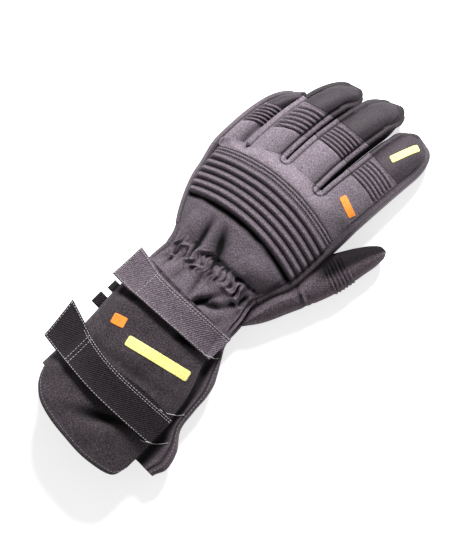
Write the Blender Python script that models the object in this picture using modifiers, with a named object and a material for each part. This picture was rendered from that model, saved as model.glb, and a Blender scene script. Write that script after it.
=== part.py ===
"""Firefighter glove for the left hand, lying palm down.

A hollow hand of sewn panels, a gathered wrist and a gauntlet cuff closed by two straps.
Metres. +Y runs to the fingertips, +X to the thumb side and +Z out of the back of the hand.
The sizes below are laid out from the waist of the wrist, at x = 0 and y = 0, and the whole
glove is centred over the origin at the end.
"""

import math
from collections import namedtuple

import bmesh
import bpy
from mathutils import Matrix, Vector

# Hand, from the waist of the wrist to the fork of middle and index finger
HAND_LENGTH = 0.117
HAND_LEFT = 0.072  # axis to the seam on the little finger's side
HAND_RIGHT = 0.054  # axis to the seam on the index finger's side
HAND_DEPTH = 0.048
WRIST_LEFT = 0.0385
WRIST_RIGHT = 0.0415
WRIST_DEPTH = 0.043

# Fingers
FINGER_LENGTH = 0.090  # the middle one, past its fork
FINGER_WIDTH = 0.0285  # the middle one, seam to seam
FINGER_DEPTH = 0.030
FINGER_CROWN = 0.0065  # rise of a finger's back above its seams
TIP_DEPTH = 0.019  # top of a fingertip's end above the floor
TIP_START = 0.72  # share of the finger where its end starts to round
TIP_FLAT = 0.34  # width left at the very end, as a share
FINGER_NARROWING = 0.10

# Thumb
THUMB_LENGTH = 0.125
THUMB_THICKNESS = 0.035
THUMB_WIDTH = 0.030

# Cuff, from the waist of the wrist to its mouth
CUFF_LENGTH = 0.138
CUFF_LEFT = 0.041
CUFF_RIGHT = 0.066
CUFF_DEPTH = 0.052
TONGUE_LENGTH = 0.028  # how far the back of the cuff reaches past its palm side
GUSSET_REACH = 0.0215  # how far the folded gusset stands out past the back's edge

# Cloth, leather and seams
WALL = 0.0024
PALM_WALL = 0.0026
PANEL_GAP = 0.0007  # between panels that meet at a seam
SIDE_BULGE = 0.0045
FORK_CLEARANCE = 0.0012  # between the sides of two fingers
CROWN_POWER = 2.4
FLAT_SHARE = 0.60  # share of the palm's half width that lies flat

# Padded ribs
KNUCKLE_TOP = 0.872 * HAND_LENGTH  # where the pad ends towards the fingers, on its middle line
KNUCKLE_BOTTOM = 0.4744 * HAND_LENGTH
KNUCKLE_RIBS = 7
KNUCKLE_RIB_HEIGHT = 0.0026
KNUCKLE_MIDDLE = 0.005  # x of the top of the pad's arch
KNUCKLE_ARCH = 0.4158 / (HAND_LEFT + HAND_RIGHT)  # drop of the arch, per metre of distance squared
FINGER_RIBS = 5
FINGER_RIB_HEIGHT = 0.0016

# Gathered wrist
GATHER_TOP = 0.019
GATHER_BOTTOM = 0.018  # below the waist
GATHER_HEIGHT = 0.0016  # of the small puckers
FOLD_DEPTH = 0.0035  # of the long folds above them

# Straps
STRAP_THICKNESS = 0.0028
STRAP_SEAT = 0.0015  # between a strap and the cuff under it
STRAP_LIFT = 0.0028  # how far a strap's lower edge stands off
UPPER_STRAP_WIDTH = 0.025
LOWER_STRAP_WIDTH = 0.0275
UPPER_STRAP_AT = 0.031  # strap's middle line, below the waist
LOWER_STRAP_AT = 0.1095
UPPER_STRAP_ENDS = (0.008, 0.006)  # reach past the cuff's left side and the back's right seam
LOWER_STRAP_ENDS = (0.012, 0.001)

# Sewn-in label and hanging loop on the little finger's side
LABEL_WIDTH = 0.009
LABEL_REACH = 0.005
LABEL_THICKNESS = 0.0012
LABEL_AT = 0.0545
LOOP_WIDTH = 0.011
LOOP_REACH = 0.0075
LOOP_THICKNESS = 0.0014
LOOP_OPENING = 0.0052
LOOP_AT = 0.0700

# Mesh density
FINGER_ACROSS = 5
FORK_STEPS = 3
SIDE_STEPS = 3
RIB_STEPS = 3
GATHER_COLUMNS = 22  # on the back of the wrist

HAND_WIDTH = HAND_LEFT + HAND_RIGHT

# Growth of each size from the wrist's (0) to the hand's (1); heights are shares of the depth there
HAND_SECTIONS = (
    ("along", "left", "right", "depth", "upper", "lower", "floor"),
    (0.00, 0.00, 0.00, 0.00, 0.60, 0.24, 0.00),
    (0.10, 0.10, -0.14, 0.30, 0.60, 0.24, 0.00),
    (0.24, 0.42, 0.12, 0.60, 0.59, 0.23, 0.00),
    (0.38, 0.67, 0.68, 0.80, 0.58, 0.22, 0.00),
    (0.51, 0.82, 0.84, 0.92, 0.58, 0.22, 0.00),
    (0.74, 0.91, 0.90, 1.00, 0.59, 0.22, 0.00),
    (0.87, 0.98, 0.93, 0.96, 0.61, 0.23, 0.02),
    (1.00, 1.00, 1.00, 0.88, 0.66, 0.24, 0.05),
)

# Growth from the wrist's size (0) to the cuff's (1); gusset is a share of its reach
CUFF_SECTIONS = (
    ("along", "left", "right", "depth", "upper", "lower", "floor", "gusset", "fold"),
    (0.00, 0.00, 0.00, 0.00, 0.60, 0.24, 0.00, 0.21, 0.00),
    (0.13, 0.90, 0.10, 0.35, 0.60, 0.22, 0.00, 0.26, 0.00),
    (0.24, 1.00, 0.16, 0.62, 0.61, 0.21, 0.00, 0.56, 0.60),
    (0.36, 1.00, 0.38, 0.84, 0.62, 0.20, 0.00, 0.67, 1.00),
    (0.46, 0.80, 0.62, 0.95, 0.62, 0.20, 0.00, 0.54, 1.00),
    (0.56, 0.35, 0.78, 1.00, 0.62, 0.20, 0.00, 0.44, 1.00),
    (0.70, 0.00, 0.88, 1.02, 0.62, 0.20, 0.00, 0.50, 1.00),
    (0.81, 0.05, 0.96, 1.00, 0.63, 0.20, 0.00, 0.90, 1.00),
    (0.92, 0.35, 1.00, 0.96, 0.64, 0.21, 0.00, 1.00, 1.00),
    (1.00, 0.45, 1.02, 0.93, 0.65, 0.21, 0.00, 0.78, 1.00),
    (1.21, 0.45, 1.02, 0.80, 0.72, 0.21, 0.00, 0.78, 1.00),
)

# Centre, lean, half width and fork heights as shares of the hand's and the middle finger's sizes
FINGER_COLUMNS = (
    "name root lean bend half root_left root_right tip_left tip_right lift ribs_from ribs_to"
)
Finger = namedtuple("Finger", FINGER_COLUMNS)
FINGERS = (
    Finger("little", -0.512, 0.100, 3.0, 0.28, 0.78, 0.86, 0.42, 0.50, 0.78, 0.34, 0.68),
    Finger("ring", -0.299, 0.112, 3.0, 0.44, 0.86, 0.99, 0.82, 0.85, 0.95, 0.30, 0.62),
    Finger("middle", -0.024, 0.100, 2.0, 0.49, 0.99, 1.00, 0.955, 1.00, 1.00, 0.34, 0.57),
    Finger("index", 0.292, 0.066, 1.0, 0.58, 1.00, 0.98, 0.92, 0.90, 0.93, 0.33, 0.58),
)

# Side view of a finger: fall from the hand's height (0) to the fingertip's (1), and shares of its crown and depth
FINGER_SECTIONS = (
    ("along", "fall", "crown", "lower", "floor"),
    (0.00, 0.00, 1.00, 0.36, 0.08),
    (0.25, 0.04, 1.00, 0.37, 0.16),
    (0.50, 0.20, 0.95, 0.37, 0.19),
    (0.70, 0.38, 0.85, 0.31, 0.12),
    (0.85, 0.58, 0.72, 0.23, 0.05),
    (0.95, 0.79, 0.55, 0.20, 0.04),
    (1.00, 1.00, 0.38, 0.22, 0.10),
)

# Thumb's middle line from inside the hand to its end, and its half sizes
THUMB_SECTIONS = (
    ("along", "x", "y", "z", "thick", "wide"),
    (0.00, 0.26, 0.00, 0.52, 0.40, 0.46),
    (0.14, 0.33, 0.14, 0.53, 0.49, 0.50),
    (0.30, 0.40, 0.30, 0.53, 0.50, 0.51),
    (0.46, 0.47, 0.45, 0.52, 0.48, 0.50),
    (0.62, 0.535, 0.60, 0.51, 0.44, 0.49),
    (0.78, 0.590, 0.75, 0.50, 0.35, 0.47),
    (0.90, 0.637, 0.87, 0.49, 0.25, 0.42),
    (0.96, 0.664, 0.93, 0.48, 0.16, 0.31),
    (1.00, 0.680, 0.96, 0.47, 0.07, 0.15),
)
THUMB_POWER = 2.4
THUMB_RIBS = 5
THUMB_RIBS_FROM = 0.61
THUMB_RIBS_TO = 0.75
THUMB_RIB_HEIGHT = 0.0012
THUMB_RIB_LEFT = -0.10  # edges of the ribs round the thumb, in half turns from its outer side
THUMB_RIB_RIGHT = 0.62

# Long folds that run down from the knuckle pad into the gathers
WRIST_FOLDS = (
    ("across", "width", "depth"),
    (-0.80, 0.09, 0.50),
    (-0.50, 0.11, 1.00),
    (-0.02, 0.10, 1.00),
    (0.38, 0.08, 0.45),
    (0.72, 0.11, 0.85),
)

# Lower edge of the cuff's back, as a share of the tongue's length
TONGUE_EDGE = (
    ("across", "reach"),
    (-1.00, 0.00),
    (-0.93, 0.26),
    (-0.82, 0.50),
    (-0.62, 0.75),
    (-0.30, 0.91),
    (0.10, 0.98),
    (0.40, 1.00),
    (0.70, 0.93),
    (0.88, 0.83),
    (0.96, 0.68),
    (1.00, 0.35),
)

# Section of the gusset from the back's edge down to the palm's: a tuck and then a roll
GUSSET_FOLD = (
    ("step", "down", "out"),
    (0, 0.00, 0.00),
    (1, 0.18, 0.05),
    (2, 0.30, 0.30),
    (3, 0.22, 0.62),
    (4, 0.34, 0.93),
    (5, 0.62, 1.00),
    (6, 0.86, 0.82),
    (7, 1.00, 0.50),
)

# Middle line and width of each strap from its free end (0) to its sewn end (1), as shares of its width
UPPER_STRAP_RUN = (
    ("along", "rise", "width"),
    (0.00, -0.04, 1.26),
    (0.14, -0.08, 1.18),
    (0.30, -0.10, 1.02),
    (0.55, -0.05, 0.97),
    (0.80, 0.03, 0.96),
    (1.00, 0.08, 0.97),
)
LOWER_STRAP_RUN = (
    ("along", "rise", "width"),
    (0.00, 0.12, 1.26),
    (0.10, 0.06, 1.18),
    (0.25, -0.04, 1.02),
    (0.50, -0.07, 0.97),
    (0.80, -0.02, 0.97),
    (1.00, 0.04, 0.97),
)

Section = namedtuple("Section", "left right crown upper lower floor gusset fold")


def mix(a, b, share):
    return a + (b - a) * share


def read(table, column, at):
    """One column of a table at a share along it, on a smooth curve through its rows."""
    rows = table[1:]
    k = table[0].index(column)
    at = min(max(at, rows[0][0]), rows[-1][0])
    i = max(j for j in range(len(rows) - 1) if rows[j][0] <= at)

    def slope(j):
        low = rows[max(j - 1, 0)]
        high = rows[min(j + 1, len(rows) - 1)]
        return (high[k] - low[k]) / (high[0] - low[0])

    run = rows[i + 1][0] - rows[i][0]
    s = (at - rows[i][0]) / run
    bend_in = (2 * s**3 - 3 * s**2 + 1) * rows[i][k] + (s**3 - 2 * s**2 + s) * run * slope(i)
    bend_out = (3 * s**2 - 2 * s**3) * rows[i + 1][k] + (s**3 - s**2) * run * slope(i + 1)
    return bend_in + bend_out


def steps(low, high, count):
    return [mix(low, high, i / count) for i in range(count + 1)]


def body_section(y):
    """Seams and heights of the hand, wrist or cuff where it crosses y."""
    if y >= 0:
        table, at = HAND_SECTIONS, y / HAND_LENGTH
        left, right, depth = HAND_LEFT, HAND_RIGHT, HAND_DEPTH
    else:
        table, at = CUFF_SECTIONS, -y / CUFF_LENGTH
        left, right, depth = CUFF_LEFT, CUFF_RIGHT, CUFF_DEPTH
    crown = mix(WRIST_DEPTH, depth, read(table, "depth", at))
    return Section(
        -mix(WRIST_LEFT, left, read(table, "left", at)),
        mix(WRIST_RIGHT, right, read(table, "right", at)),
        crown,
        crown * read(table, "upper", at),
        crown * read(table, "lower", at),
        crown * max(0.0, read(table, "floor", at)),
        GUSSET_REACH * read(table, "gusset", at) if y < 0 else 0.0,
        read(table, "fold", at) if y < 0 else 0.0,
    )


def crown_height(upper, crown, across):
    return upper + (crown - upper) * (1 - abs(across) ** CROWN_POWER)


def floor_height(floor, lower, across):
    rising = max(0.0, (abs(across) - FLAT_SHARE) / (1 - FLAT_SHARE))
    return floor + (lower - floor) * rising**2


def across_of(section, x):
    return (2 * x - section.left - section.right) / (section.right - section.left)


def body_top(x, y):
    """A point on the outside of the hand's or cuff's back."""
    s = body_section(y)
    across = max(-1.0, min(1.0, across_of(s, x)))
    return Vector((x, y, crown_height(s.upper, s.crown, across)))


def body_side(y, side, down):
    """A point on the bulging side, side -1 or 1, from the upper seam (0) down to the lower (1)."""
    s = body_section(y)
    edge = s.left if side < 0 else s.right
    bulge = SIDE_BULGE * 4 * down * (1 - down)
    return Vector((edge + side * bulge, y, mix(s.upper, s.lower, down)))


def body_floor(across, y):
    s = body_section(y)
    x = mix(s.left, s.right, (across + 1) / 2)
    return Vector((x, y, floor_height(s.floor, s.lower, across)))


def body_loop(y, top_steps, side_steps, floor_steps):
    """The closed outline of the glove across y, clockwise seen from the fingertips' side."""
    s = body_section(y)
    loop = [body_top(x, y) for x in steps(s.left, s.right, top_steps)]
    loop += [body_side(y, 1, v) for v in steps(0, 1, side_steps)[1:]]
    loop += [body_floor(-q, y) for q in steps(-1, 1, floor_steps)[1:]]
    loop += [body_side(y, -1, 1 - v) for v in steps(0, 1, side_steps)[1:-1]]
    return loop


def taper(along):
    past = max(0.0, (along - TIP_START) / (1 - TIP_START))
    narrowed = 1 - FINGER_NARROWING * along
    return narrowed * (TIP_FLAT + (1 - TIP_FLAT) * math.sqrt(max(0.0, 1 - past**2)))


def finger_ends(f, across):
    """y of the finger's fork and tip on one of its lengthwise lines."""
    side = (across + 1) / 2
    root = mix(f.root_left, f.root_right, side) * HAND_LENGTH
    tip = HAND_LENGTH + mix(f.tip_left, f.tip_right, side) * FINGER_LENGTH
    return root, tip


def seam_share(f):
    """Share of the finger's length that leaves half of a seam's gap, also where rows run askew."""
    (left, left_tip), (right, right_tip) = finger_ends(f, -1), finger_ends(f, 1)
    skew = (right - left) / (2 * f.half * FINGER_WIDTH)
    return 0.7 * PANEL_GAP * math.hypot(1, skew) / ((left_tip - left + right_tip - right) / 2)


def finger_plan(f, across, along):
    """x and y on a finger: across from seam (-1) to seam (1), along from fork (0) to tip (1)."""
    root, tip = finger_ends(f, across)
    centre = f.root * HAND_WIDTH + f.lean * FINGER_LENGTH * along**f.bend
    return centre + across * f.half * FINGER_WIDTH * taper(along), mix(root, tip, along)


def finger_heights(f, along):
    """Heights of the finger's back, upper seam, lower seam and front."""
    root_top = HAND_DEPTH * HAND_SECTIONS[-1][3] * f.lift
    crown = mix(root_top, TIP_DEPTH, read(FINGER_SECTIONS, "fall", along))
    upper = crown - FINGER_CROWN * read(FINGER_SECTIONS, "crown", along)
    lower = FINGER_DEPTH * read(FINGER_SECTIONS, "lower", along)
    return crown, upper, lower, FINGER_DEPTH * read(FINGER_SECTIONS, "floor", along)


def finger_top(f, across, along):
    crown, upper, _, _ = finger_heights(f, along)
    return Vector((*finger_plan(f, across, along), crown_height(upper, crown, across)))


def finger_floor(f, across, along):
    _, _, lower, floor = finger_heights(f, along)
    return Vector((*finger_plan(f, across, along), floor_height(floor, lower, across)))


def tip_rows(low, high, count):
    """Shares along a finger, closer together where its end rounds."""
    turn = [math.sin(math.radians(a)) for a in (30, 55, 75, 90)]
    rounded = [mix(TIP_START, 1.0, t) for t in turn]
    return [a for a in steps(low, TIP_START, count) if a < TIP_START] + [TIP_START] + [
        a for a in rounded if a <= high
    ]


def fork_arc(i, point):
    """Points between fingers i and i + 1, round the fork, from one finger's seam to the other's."""
    start = point(FINGERS[i], 1, 0)
    end = point(FINGERS[i + 1], -1, 0)
    middle = (start + end) / 2
    radius = (end.xy - start.xy).length / 2
    arc = []
    for turn in steps(0, math.pi, FORK_STEPS + 1)[1:-1]:
        at = start.lerp(end, (1 - math.cos(turn)) / 2)
        arc.append(Vector((at.x, at.y - radius * math.sin(turn), mix(at.z, middle.z, 0.5))))
    return arc


def fork_row(point):
    """One row of points across all four fingers at their forks, dipping round each fork."""
    row = []
    for i, f in enumerate(FINGERS):
        row += [point(f, q, 0) for q in steps(-1, 1, FINGER_ACROSS)]
        if i + 1 < len(FINGERS):
            row += fork_arc(i, point)
    return row


def knuckle_line(x, middle_y):
    """y of the arched line over the knuckles that crosses the pad's middle at middle_y."""
    return middle_y - KNUCKLE_ARCH * (x - KNUCKLE_MIDDLE) ** 2


def seam_x(side, middle_y):
    """x where an arched line over the knuckles meets a side seam."""
    x = HAND_RIGHT if side > 0 else -HAND_LEFT
    for _ in range(6):
        s = body_section(knuckle_line(x, middle_y))
        x = s.right if side > 0 else s.left
    return x


def arched_row(middle_y, shares):
    """A row over the back of the hand on an arched line, from seam to seam."""
    left, right = seam_x(-1, middle_y), seam_x(1, middle_y)
    row = []
    for share in shares:
        x = mix(left, right, share)
        row.append(body_top(x, knuckle_line(x, middle_y)))
    return row


def shares_of(row):
    """How far each point lies between the first and the last, by x."""
    return [(p.x - row[0].x) / (row[-1].x - row[0].x) for p in row]


def normals_of(rows):
    """Upward normals of a grid of points."""
    last, end = len(rows) - 1, len(rows[0]) - 1
    found = []
    for r, row in enumerate(rows):
        line = []
        for c in range(end + 1):
            along = rows[min(r + 1, last)][c] - rows[max(r - 1, 0)][c]
            across = row[min(c + 1, end)] - row[max(c - 1, 0)]
            line.append(across.cross(along).normalized())
        found.append(line)
    return found


def offset_rows(rows, distance):
    normals = normals_of(rows)
    return [[p + n * distance for p, n in zip(*pair)] for pair in zip(rows, normals)]


def add_grid(bm, rows, flip=False, closed=False):
    """Adds a grid of points as quads. Closed joins each row's last point to its first."""
    verts = [[bm.verts.new(p) for p in row] for row in rows]
    count = len(rows[0])
    for low, high in zip(verts, verts[1:]):
        for c in range(count if closed else count - 1):
            d = (c + 1) % count
            corners = (low[c], low[d], high[d], high[c])
            bm.faces.new(corners[::-1] if flip else corners)
    return verts


def finish_mesh(bm, name, material, smooth_angle=50):
    bmesh.ops.remove_doubles(bm, verts=bm.verts, dist=1e-6)
    mesh = bpy.data.meshes.new(name)
    bm.to_mesh(mesh)
    bm.free()
    mesh.shade_smooth()
    mesh.set_sharp_from_angle(angle=math.radians(smooth_angle))
    obj = bpy.data.objects.new(name, mesh)
    if material:
        mesh.materials.append(material)
    return obj


def sheet(name, grids, material, wall, flip=False, closed=False):
    """A sewn panel: open grids of its outer face, welded, and Solidify for its wall."""
    bm = bmesh.new()
    for rows in grids:
        add_grid(bm, rows, flip, closed)
    obj = finish_mesh(bm, name, material)
    glove.objects.link(obj)
    solidify = obj.modifiers.new("wall", "SOLIDIFY")
    solidify.thickness = wall
    solidify.offset = -1
    return obj


def padded_panel(name, outer, inner, material):
    """A quilted panel: a ribbed outer face over a plain backing, closed round the edge."""
    bm = bmesh.new()
    top = add_grid(bm, outer)
    under = add_grid(bm, inner, flip=True)
    edge_top = top[0][:-1] + [r[-1] for r in top[:-1]] + top[-1][:0:-1] + [r[0] for r in top[:0:-1]]
    edge_under = (
        under[0][:-1] + [r[-1] for r in under[:-1]] + under[-1][:0:-1] + [r[0] for r in under[:0:-1]]
    )
    for i, a in enumerate(edge_top):
        j = (i + 1) % len(edge_top)
        bm.faces.new((edge_top[j], a, edge_under[i], edge_under[j]))
    obj = finish_mesh(bm, name, material)
    glove.objects.link(obj)
    return obj


def rib_rise(share, count):
    """Height of the rolls, 0 to 1, at a share across a field of them."""
    place = (share * count) % 1.0 if 0 < share < 1 else 0.0
    return math.sqrt(max(0.0, 1 - (2 * place - 1) ** 2))


def end_fade(share, width):
    """Falls to 0 at both ends of a rib."""
    return min(1.0, min(share, 1 - share) / width)


def fold_depth(across):
    """Depth of the long folds at a place across the back, 0 to 1."""
    total = 0.0
    for centre, width, depth in WRIST_FOLDS[1:]:
        total += depth * math.exp(-(((across - centre) / width) ** 2))
    return total


def make_finger_panels(materials):
    """The ribbed part and the end of each finger's back."""
    for f in FINGERS:
        gap = seam_share(f)
        shares = steps(0, 1, FINGER_RIBS * RIB_STEPS)
        columns = steps(-1, 1, FINGER_ACROSS)
        base = [
            [finger_top(f, q, mix(f.ribs_from + gap, f.ribs_to - gap, s)) for q in columns]
            for s in shares
        ]
        normals = normals_of(base)
        outer = []
        for s, row, lifts in zip(shares, base, normals):
            rise = FINGER_RIB_HEIGHT * rib_rise(s, FINGER_RIBS)
            outer.append([
                p + n * rise * end_fade((q + 1) / 2, 0.12) for p, n, q in zip(row, lifts, columns)
            ])
        inner = offset_rows(base, -WALL)
        padded_panel("ribs_" + f.name, outer, inner, materials["quilted"])

        rows = [[finger_top(f, q, t) for q in columns] for t in tip_rows(f.ribs_to + gap, 1, 2)]
        sheet("fingertip_" + f.name, [rows], materials["leather"], WALL)


def make_hand_back(materials):
    """From the ribbed part of each finger down to the knuckle pad."""
    grids = []
    for f in FINGERS:
        top = f.ribs_from - seam_share(f)
        grids.append([
            [finger_top(f, q, t) for q in steps(-1, 1, FINGER_ACROSS)] for t in steps(0, top, 2)
        ])
    forks = fork_row(finger_top)
    edge = arched_row(KNUCKLE_TOP + 2 * PANEL_GAP, shares_of(forks))
    hand = []
    for s in steps(0, 1, 3):
        row = []
        for fork, low in zip(forks, edge):
            at = low.lerp(fork, s)
            plain = body_top(at.x, at.y)
            eased = s * s * (3 - 2 * s)
            row.append(Vector((at.x, at.y, mix(plain.z, at.z, eased))))
        hand.append(row)
    grids.append(hand)
    return sheet("hand_back", grids, materials["shell"], WALL)


def make_knuckle_pad(materials):
    """Rolls that arch over the knuckles from seam to seam."""
    columns = steps(0, 1, 14)
    shares = steps(0, 1, KNUCKLE_RIBS * RIB_STEPS)
    base = [arched_row(mix(KNUCKLE_BOTTOM, KNUCKLE_TOP, s), columns) for s in shares]
    outer = []
    for s, row, lifts in zip(shares, base, normals_of(base)):
        rise = KNUCKLE_RIB_HEIGHT * rib_rise(s, KNUCKLE_RIBS)
        outer.append([p + n * rise * end_fade(c, 0.05) for p, n, c in zip(row, lifts, columns)])
    return padded_panel("knuckle_pad", outer, offset_rows(base, -WALL), materials["quilted"])


def make_wrist_back(materials):
    """Plain cloth between the knuckle pad and the gathers, with long folds."""
    columns = steps(0, 1, 18)
    top = arched_row(KNUCKLE_BOTTOM - 2 * PANEL_GAP, columns)
    section = body_section(GATHER_TOP + PANEL_GAP)
    low = [body_top(mix(section.left, section.right, c), GATHER_TOP + PANEL_GAP) for c in columns]
    rows = []
    for s in steps(0, 1, 4):
        row = []
        for c, a, b in zip(columns, low, top):
            at = a.lerp(b, s)
            plain = body_top(at.x, at.y)
            sink = FOLD_DEPTH * fold_depth(2 * c - 1) * (1 - s) ** 0.7 * end_fade(c, 0.08)
            row.append(Vector((at.x, at.y, plain.z - sink)))
        rows.append(row)
    return sheet("wrist_back", [rows], materials["shell"], WALL)


def make_palm(materials):
    """The palm with the fronts of the fingers, flat where it lies."""
    grids = []
    for f in FINGERS:
        rows = [
            [finger_floor(f, q, t) for q in steps(-1, 1, FINGER_ACROSS)] for t in tip_rows(0, 1, 3)
        ]
        grids.append(rows)
    forks = fork_row(finger_floor)
    shares = shares_of(forks)
    hand = []
    for s in steps(0, 1, 4):
        row = []
        for share, fork in zip(shares, forks):
            y = mix(GATHER_TOP + PANEL_GAP, fork.y, s)
            plain = body_floor(2 * share - 1, y)
            eased = max(0.0, 2 * s - 1) ** 2
            x = plain.x if s < 1 else fork.x
            row.append(Vector((x, y, mix(plain.z, fork.z, eased))))
        hand.append(row)
    grids.append(hand)
    return sheet("palm", grids, materials["leather"], PALM_WALL, flip=True)


def side_gap(i, side, along):
    """Half of the room beside finger i on one side, less the clearance."""
    j = i + side
    if not 0 <= j < len(FINGERS):
        return SIDE_BULGE
    x, y = finger_plan(FINGERS[i], side, along)
    root, tip = finger_ends(FINGERS[j], -side)
    share = (y - root) / (tip - root)
    if share > 1:
        return SIDE_BULGE
    other = finger_plan(FINGERS[j], -side, max(0.0, share))[0]
    return max(0.0, min(SIDE_BULGE, (abs(other - x) - FORK_CLEARANCE) / 2))


def finger_side(i, side):
    """Seam stations up one side of finger i and round half of its end: x, y, heights and bulge."""
    f = FINGERS[i]
    stations = []
    for along in tip_rows(0, 1, 5):
        _, upper, lower, _ = finger_heights(f, along)
        stations.append((*finger_plan(f, side, along), upper, lower, side_gap(i, side, along)))
    _, upper, lower, _ = finger_heights(f, 1)
    half_end = finger_plan(f, 1, 1)[0] - finger_plan(f, 0, 1)[0]
    stop = PANEL_GAP / 2 / half_end
    for across in (0.5, stop):
        bulge = side_gap(i, side, 1)
        stations.append((*finger_plan(f, side * across, 1), upper, lower, bulge))
    return stations


def fork_stations(i):
    tops, floors = fork_arc(i, finger_top), fork_arc(i, finger_floor)
    return [(a.x, a.y, a.z, b.z, 0.25 * SIDE_BULGE) for a, b in zip(tops, floors)]


def hand_side(side):
    """Seam stations along the side of the hand, from the gathers to the outer finger's fork."""
    f = FINGERS[-1] if side > 0 else FINGERS[0]
    _, fork = finger_plan(f, side, 0)
    _, fork_upper, fork_lower, _ = finger_heights(f, 0)
    stations = []
    for s in steps(0, 1, 7)[:-1]:
        y = mix(GATHER_TOP + PANEL_GAP + 0.7 * WALL, fork, s)
        section = body_section(y)
        x = section.right if side > 0 else section.left
        eased = max(0.0, 2 * s - 1) ** 2
        upper = mix(section.upper, fork_upper, eased)
        lower = mix(section.lower, fork_lower, eased)
        stations.append((x, y, upper, lower, SIDE_BULGE))
    return stations


def strip_rows(stations):
    """The bulging outer face of a side strip that runs along the stations."""
    rows = []
    last = len(stations) - 1
    for k, (x, y, upper, lower, bulge) in enumerate(stations):
        ahead, behind = stations[min(k + 1, last)], stations[max(k - 1, 0)]
        run = Vector((ahead[0] - behind[0], ahead[1] - behind[1])).normalized()
        out = Vector((-run.y, run.x))
        shallow = 1 - bulge / SIDE_BULGE
        start = (2.7 * PANEL_GAP + 0.5 * WALL * shallow) / (upper - lower)
        end = 1 - (1.3 * PANEL_GAP + PALM_WALL * shallow) / (upper - lower)
        row = []
        for down in steps(start, end, SIDE_STEPS):
            swell = bulge * 4 * down * (1 - down)
            row.append(Vector((x + out.x * swell, y + out.y * swell, mix(upper, lower, down))))
        rows.append(row)
    return rows


def make_side_strips(materials):
    """The strips between back and palm: two outer sides and a forked one between each two fingers."""
    last = len(FINGERS) - 1
    outer_left = hand_side(-1) + finger_side(0, -1)
    outer_right = finger_side(last, 1)[::-1] + hand_side(1)[::-1]
    runs = {"side_little": outer_left, "side_index": outer_right}
    for i in range(last):
        name = "fourchette_" + FINGERS[i].name + "_" + FINGERS[i + 1].name
        runs[name] = finger_side(i, 1)[::-1] + fork_stations(i) + finger_side(i + 1, -1)
    return {
        name: sheet(name, [strip_rows(run)], materials["leather"], WALL, flip=True)
        for name, run in runs.items()
    }


def thumb_ring(along, around, outset=0.0):
    """Points round the thumb at a share along it. Angles are in half turns from its outer side."""
    hand = Vector((
        read(THUMB_SECTIONS, "x", along) * THUMB_LENGTH,
        read(THUMB_SECTIONS, "y", along) * THUMB_LENGTH,
        read(THUMB_SECTIONS, "z", along) * THUMB_WIDTH,
    ))
    step = 0.02
    low, high = max(along - step, 0.0), min(along + step, 1.0)
    run = Vector((
        read(THUMB_SECTIONS, "x", high) - read(THUMB_SECTIONS, "x", low),
        read(THUMB_SECTIONS, "y", high) - read(THUMB_SECTIONS, "y", low),
    )).normalized()
    out = Vector((run.y, -run.x, 0))
    half_thick = read(THUMB_SECTIONS, "thick", along) * THUMB_THICKNESS + outset
    half_wide = read(THUMB_SECTIONS, "wide", along) * THUMB_WIDTH + outset
    power = 2 / THUMB_POWER
    ring = []
    for turn in around:
        c, s = math.cos(math.pi * turn), math.sin(math.pi * turn)
        sideways = math.copysign(abs(c) ** power, c) * half_thick
        upward = math.copysign(abs(s) ** power, s) * half_wide
        ring.append(hand + out * sideways + Vector((0, 0, upward)))
    return ring


def closed_loft(bm, rows, flip=False):
    """A tube of closed rows with both ends filled."""
    verts = add_grid(bm, rows, flip, closed=True)
    bm.faces.new(verts[-1][::-1] if flip else verts[-1])
    bm.faces.new(verts[0] if flip else verts[0][::-1])


def make_cutter(name, rows, flip):
    bm = bmesh.new()
    closed_loft(bm, rows, flip)
    obj = finish_mesh(bm, name, None)
    cutters.objects.link(obj)
    obj.hide_render = True
    obj.display_type = "WIRE"
    return obj


def cut(obj, cutter):
    boolean = obj.modifiers.new("cut " + cutter.name, "BOOLEAN")
    boolean.operation = "DIFFERENCE"
    boolean.object = cutter


def hand_core():
    """The space that the hand's own panels fill, with a gap round it, as a cutter for the thumb."""
    rows = []
    for y in steps(-0.12 * CUFF_LENGTH, HAND_LENGTH, 12):
        loop = body_loop(y, 12, 4, 8)
        centre = sum(loop, Vector()) / len(loop)
        room = 2 * PANEL_GAP + (GATHER_HEIGHT if y < GATHER_TOP else 0)
        grown = []
        for p in loop:
            away = (p - centre).normalized()
            grown.append(p + Vector((away.x, 0, away.z)) * room)
        rows.append(grown)
    return make_cutter("hand_core", rows, flip=False)


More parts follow.
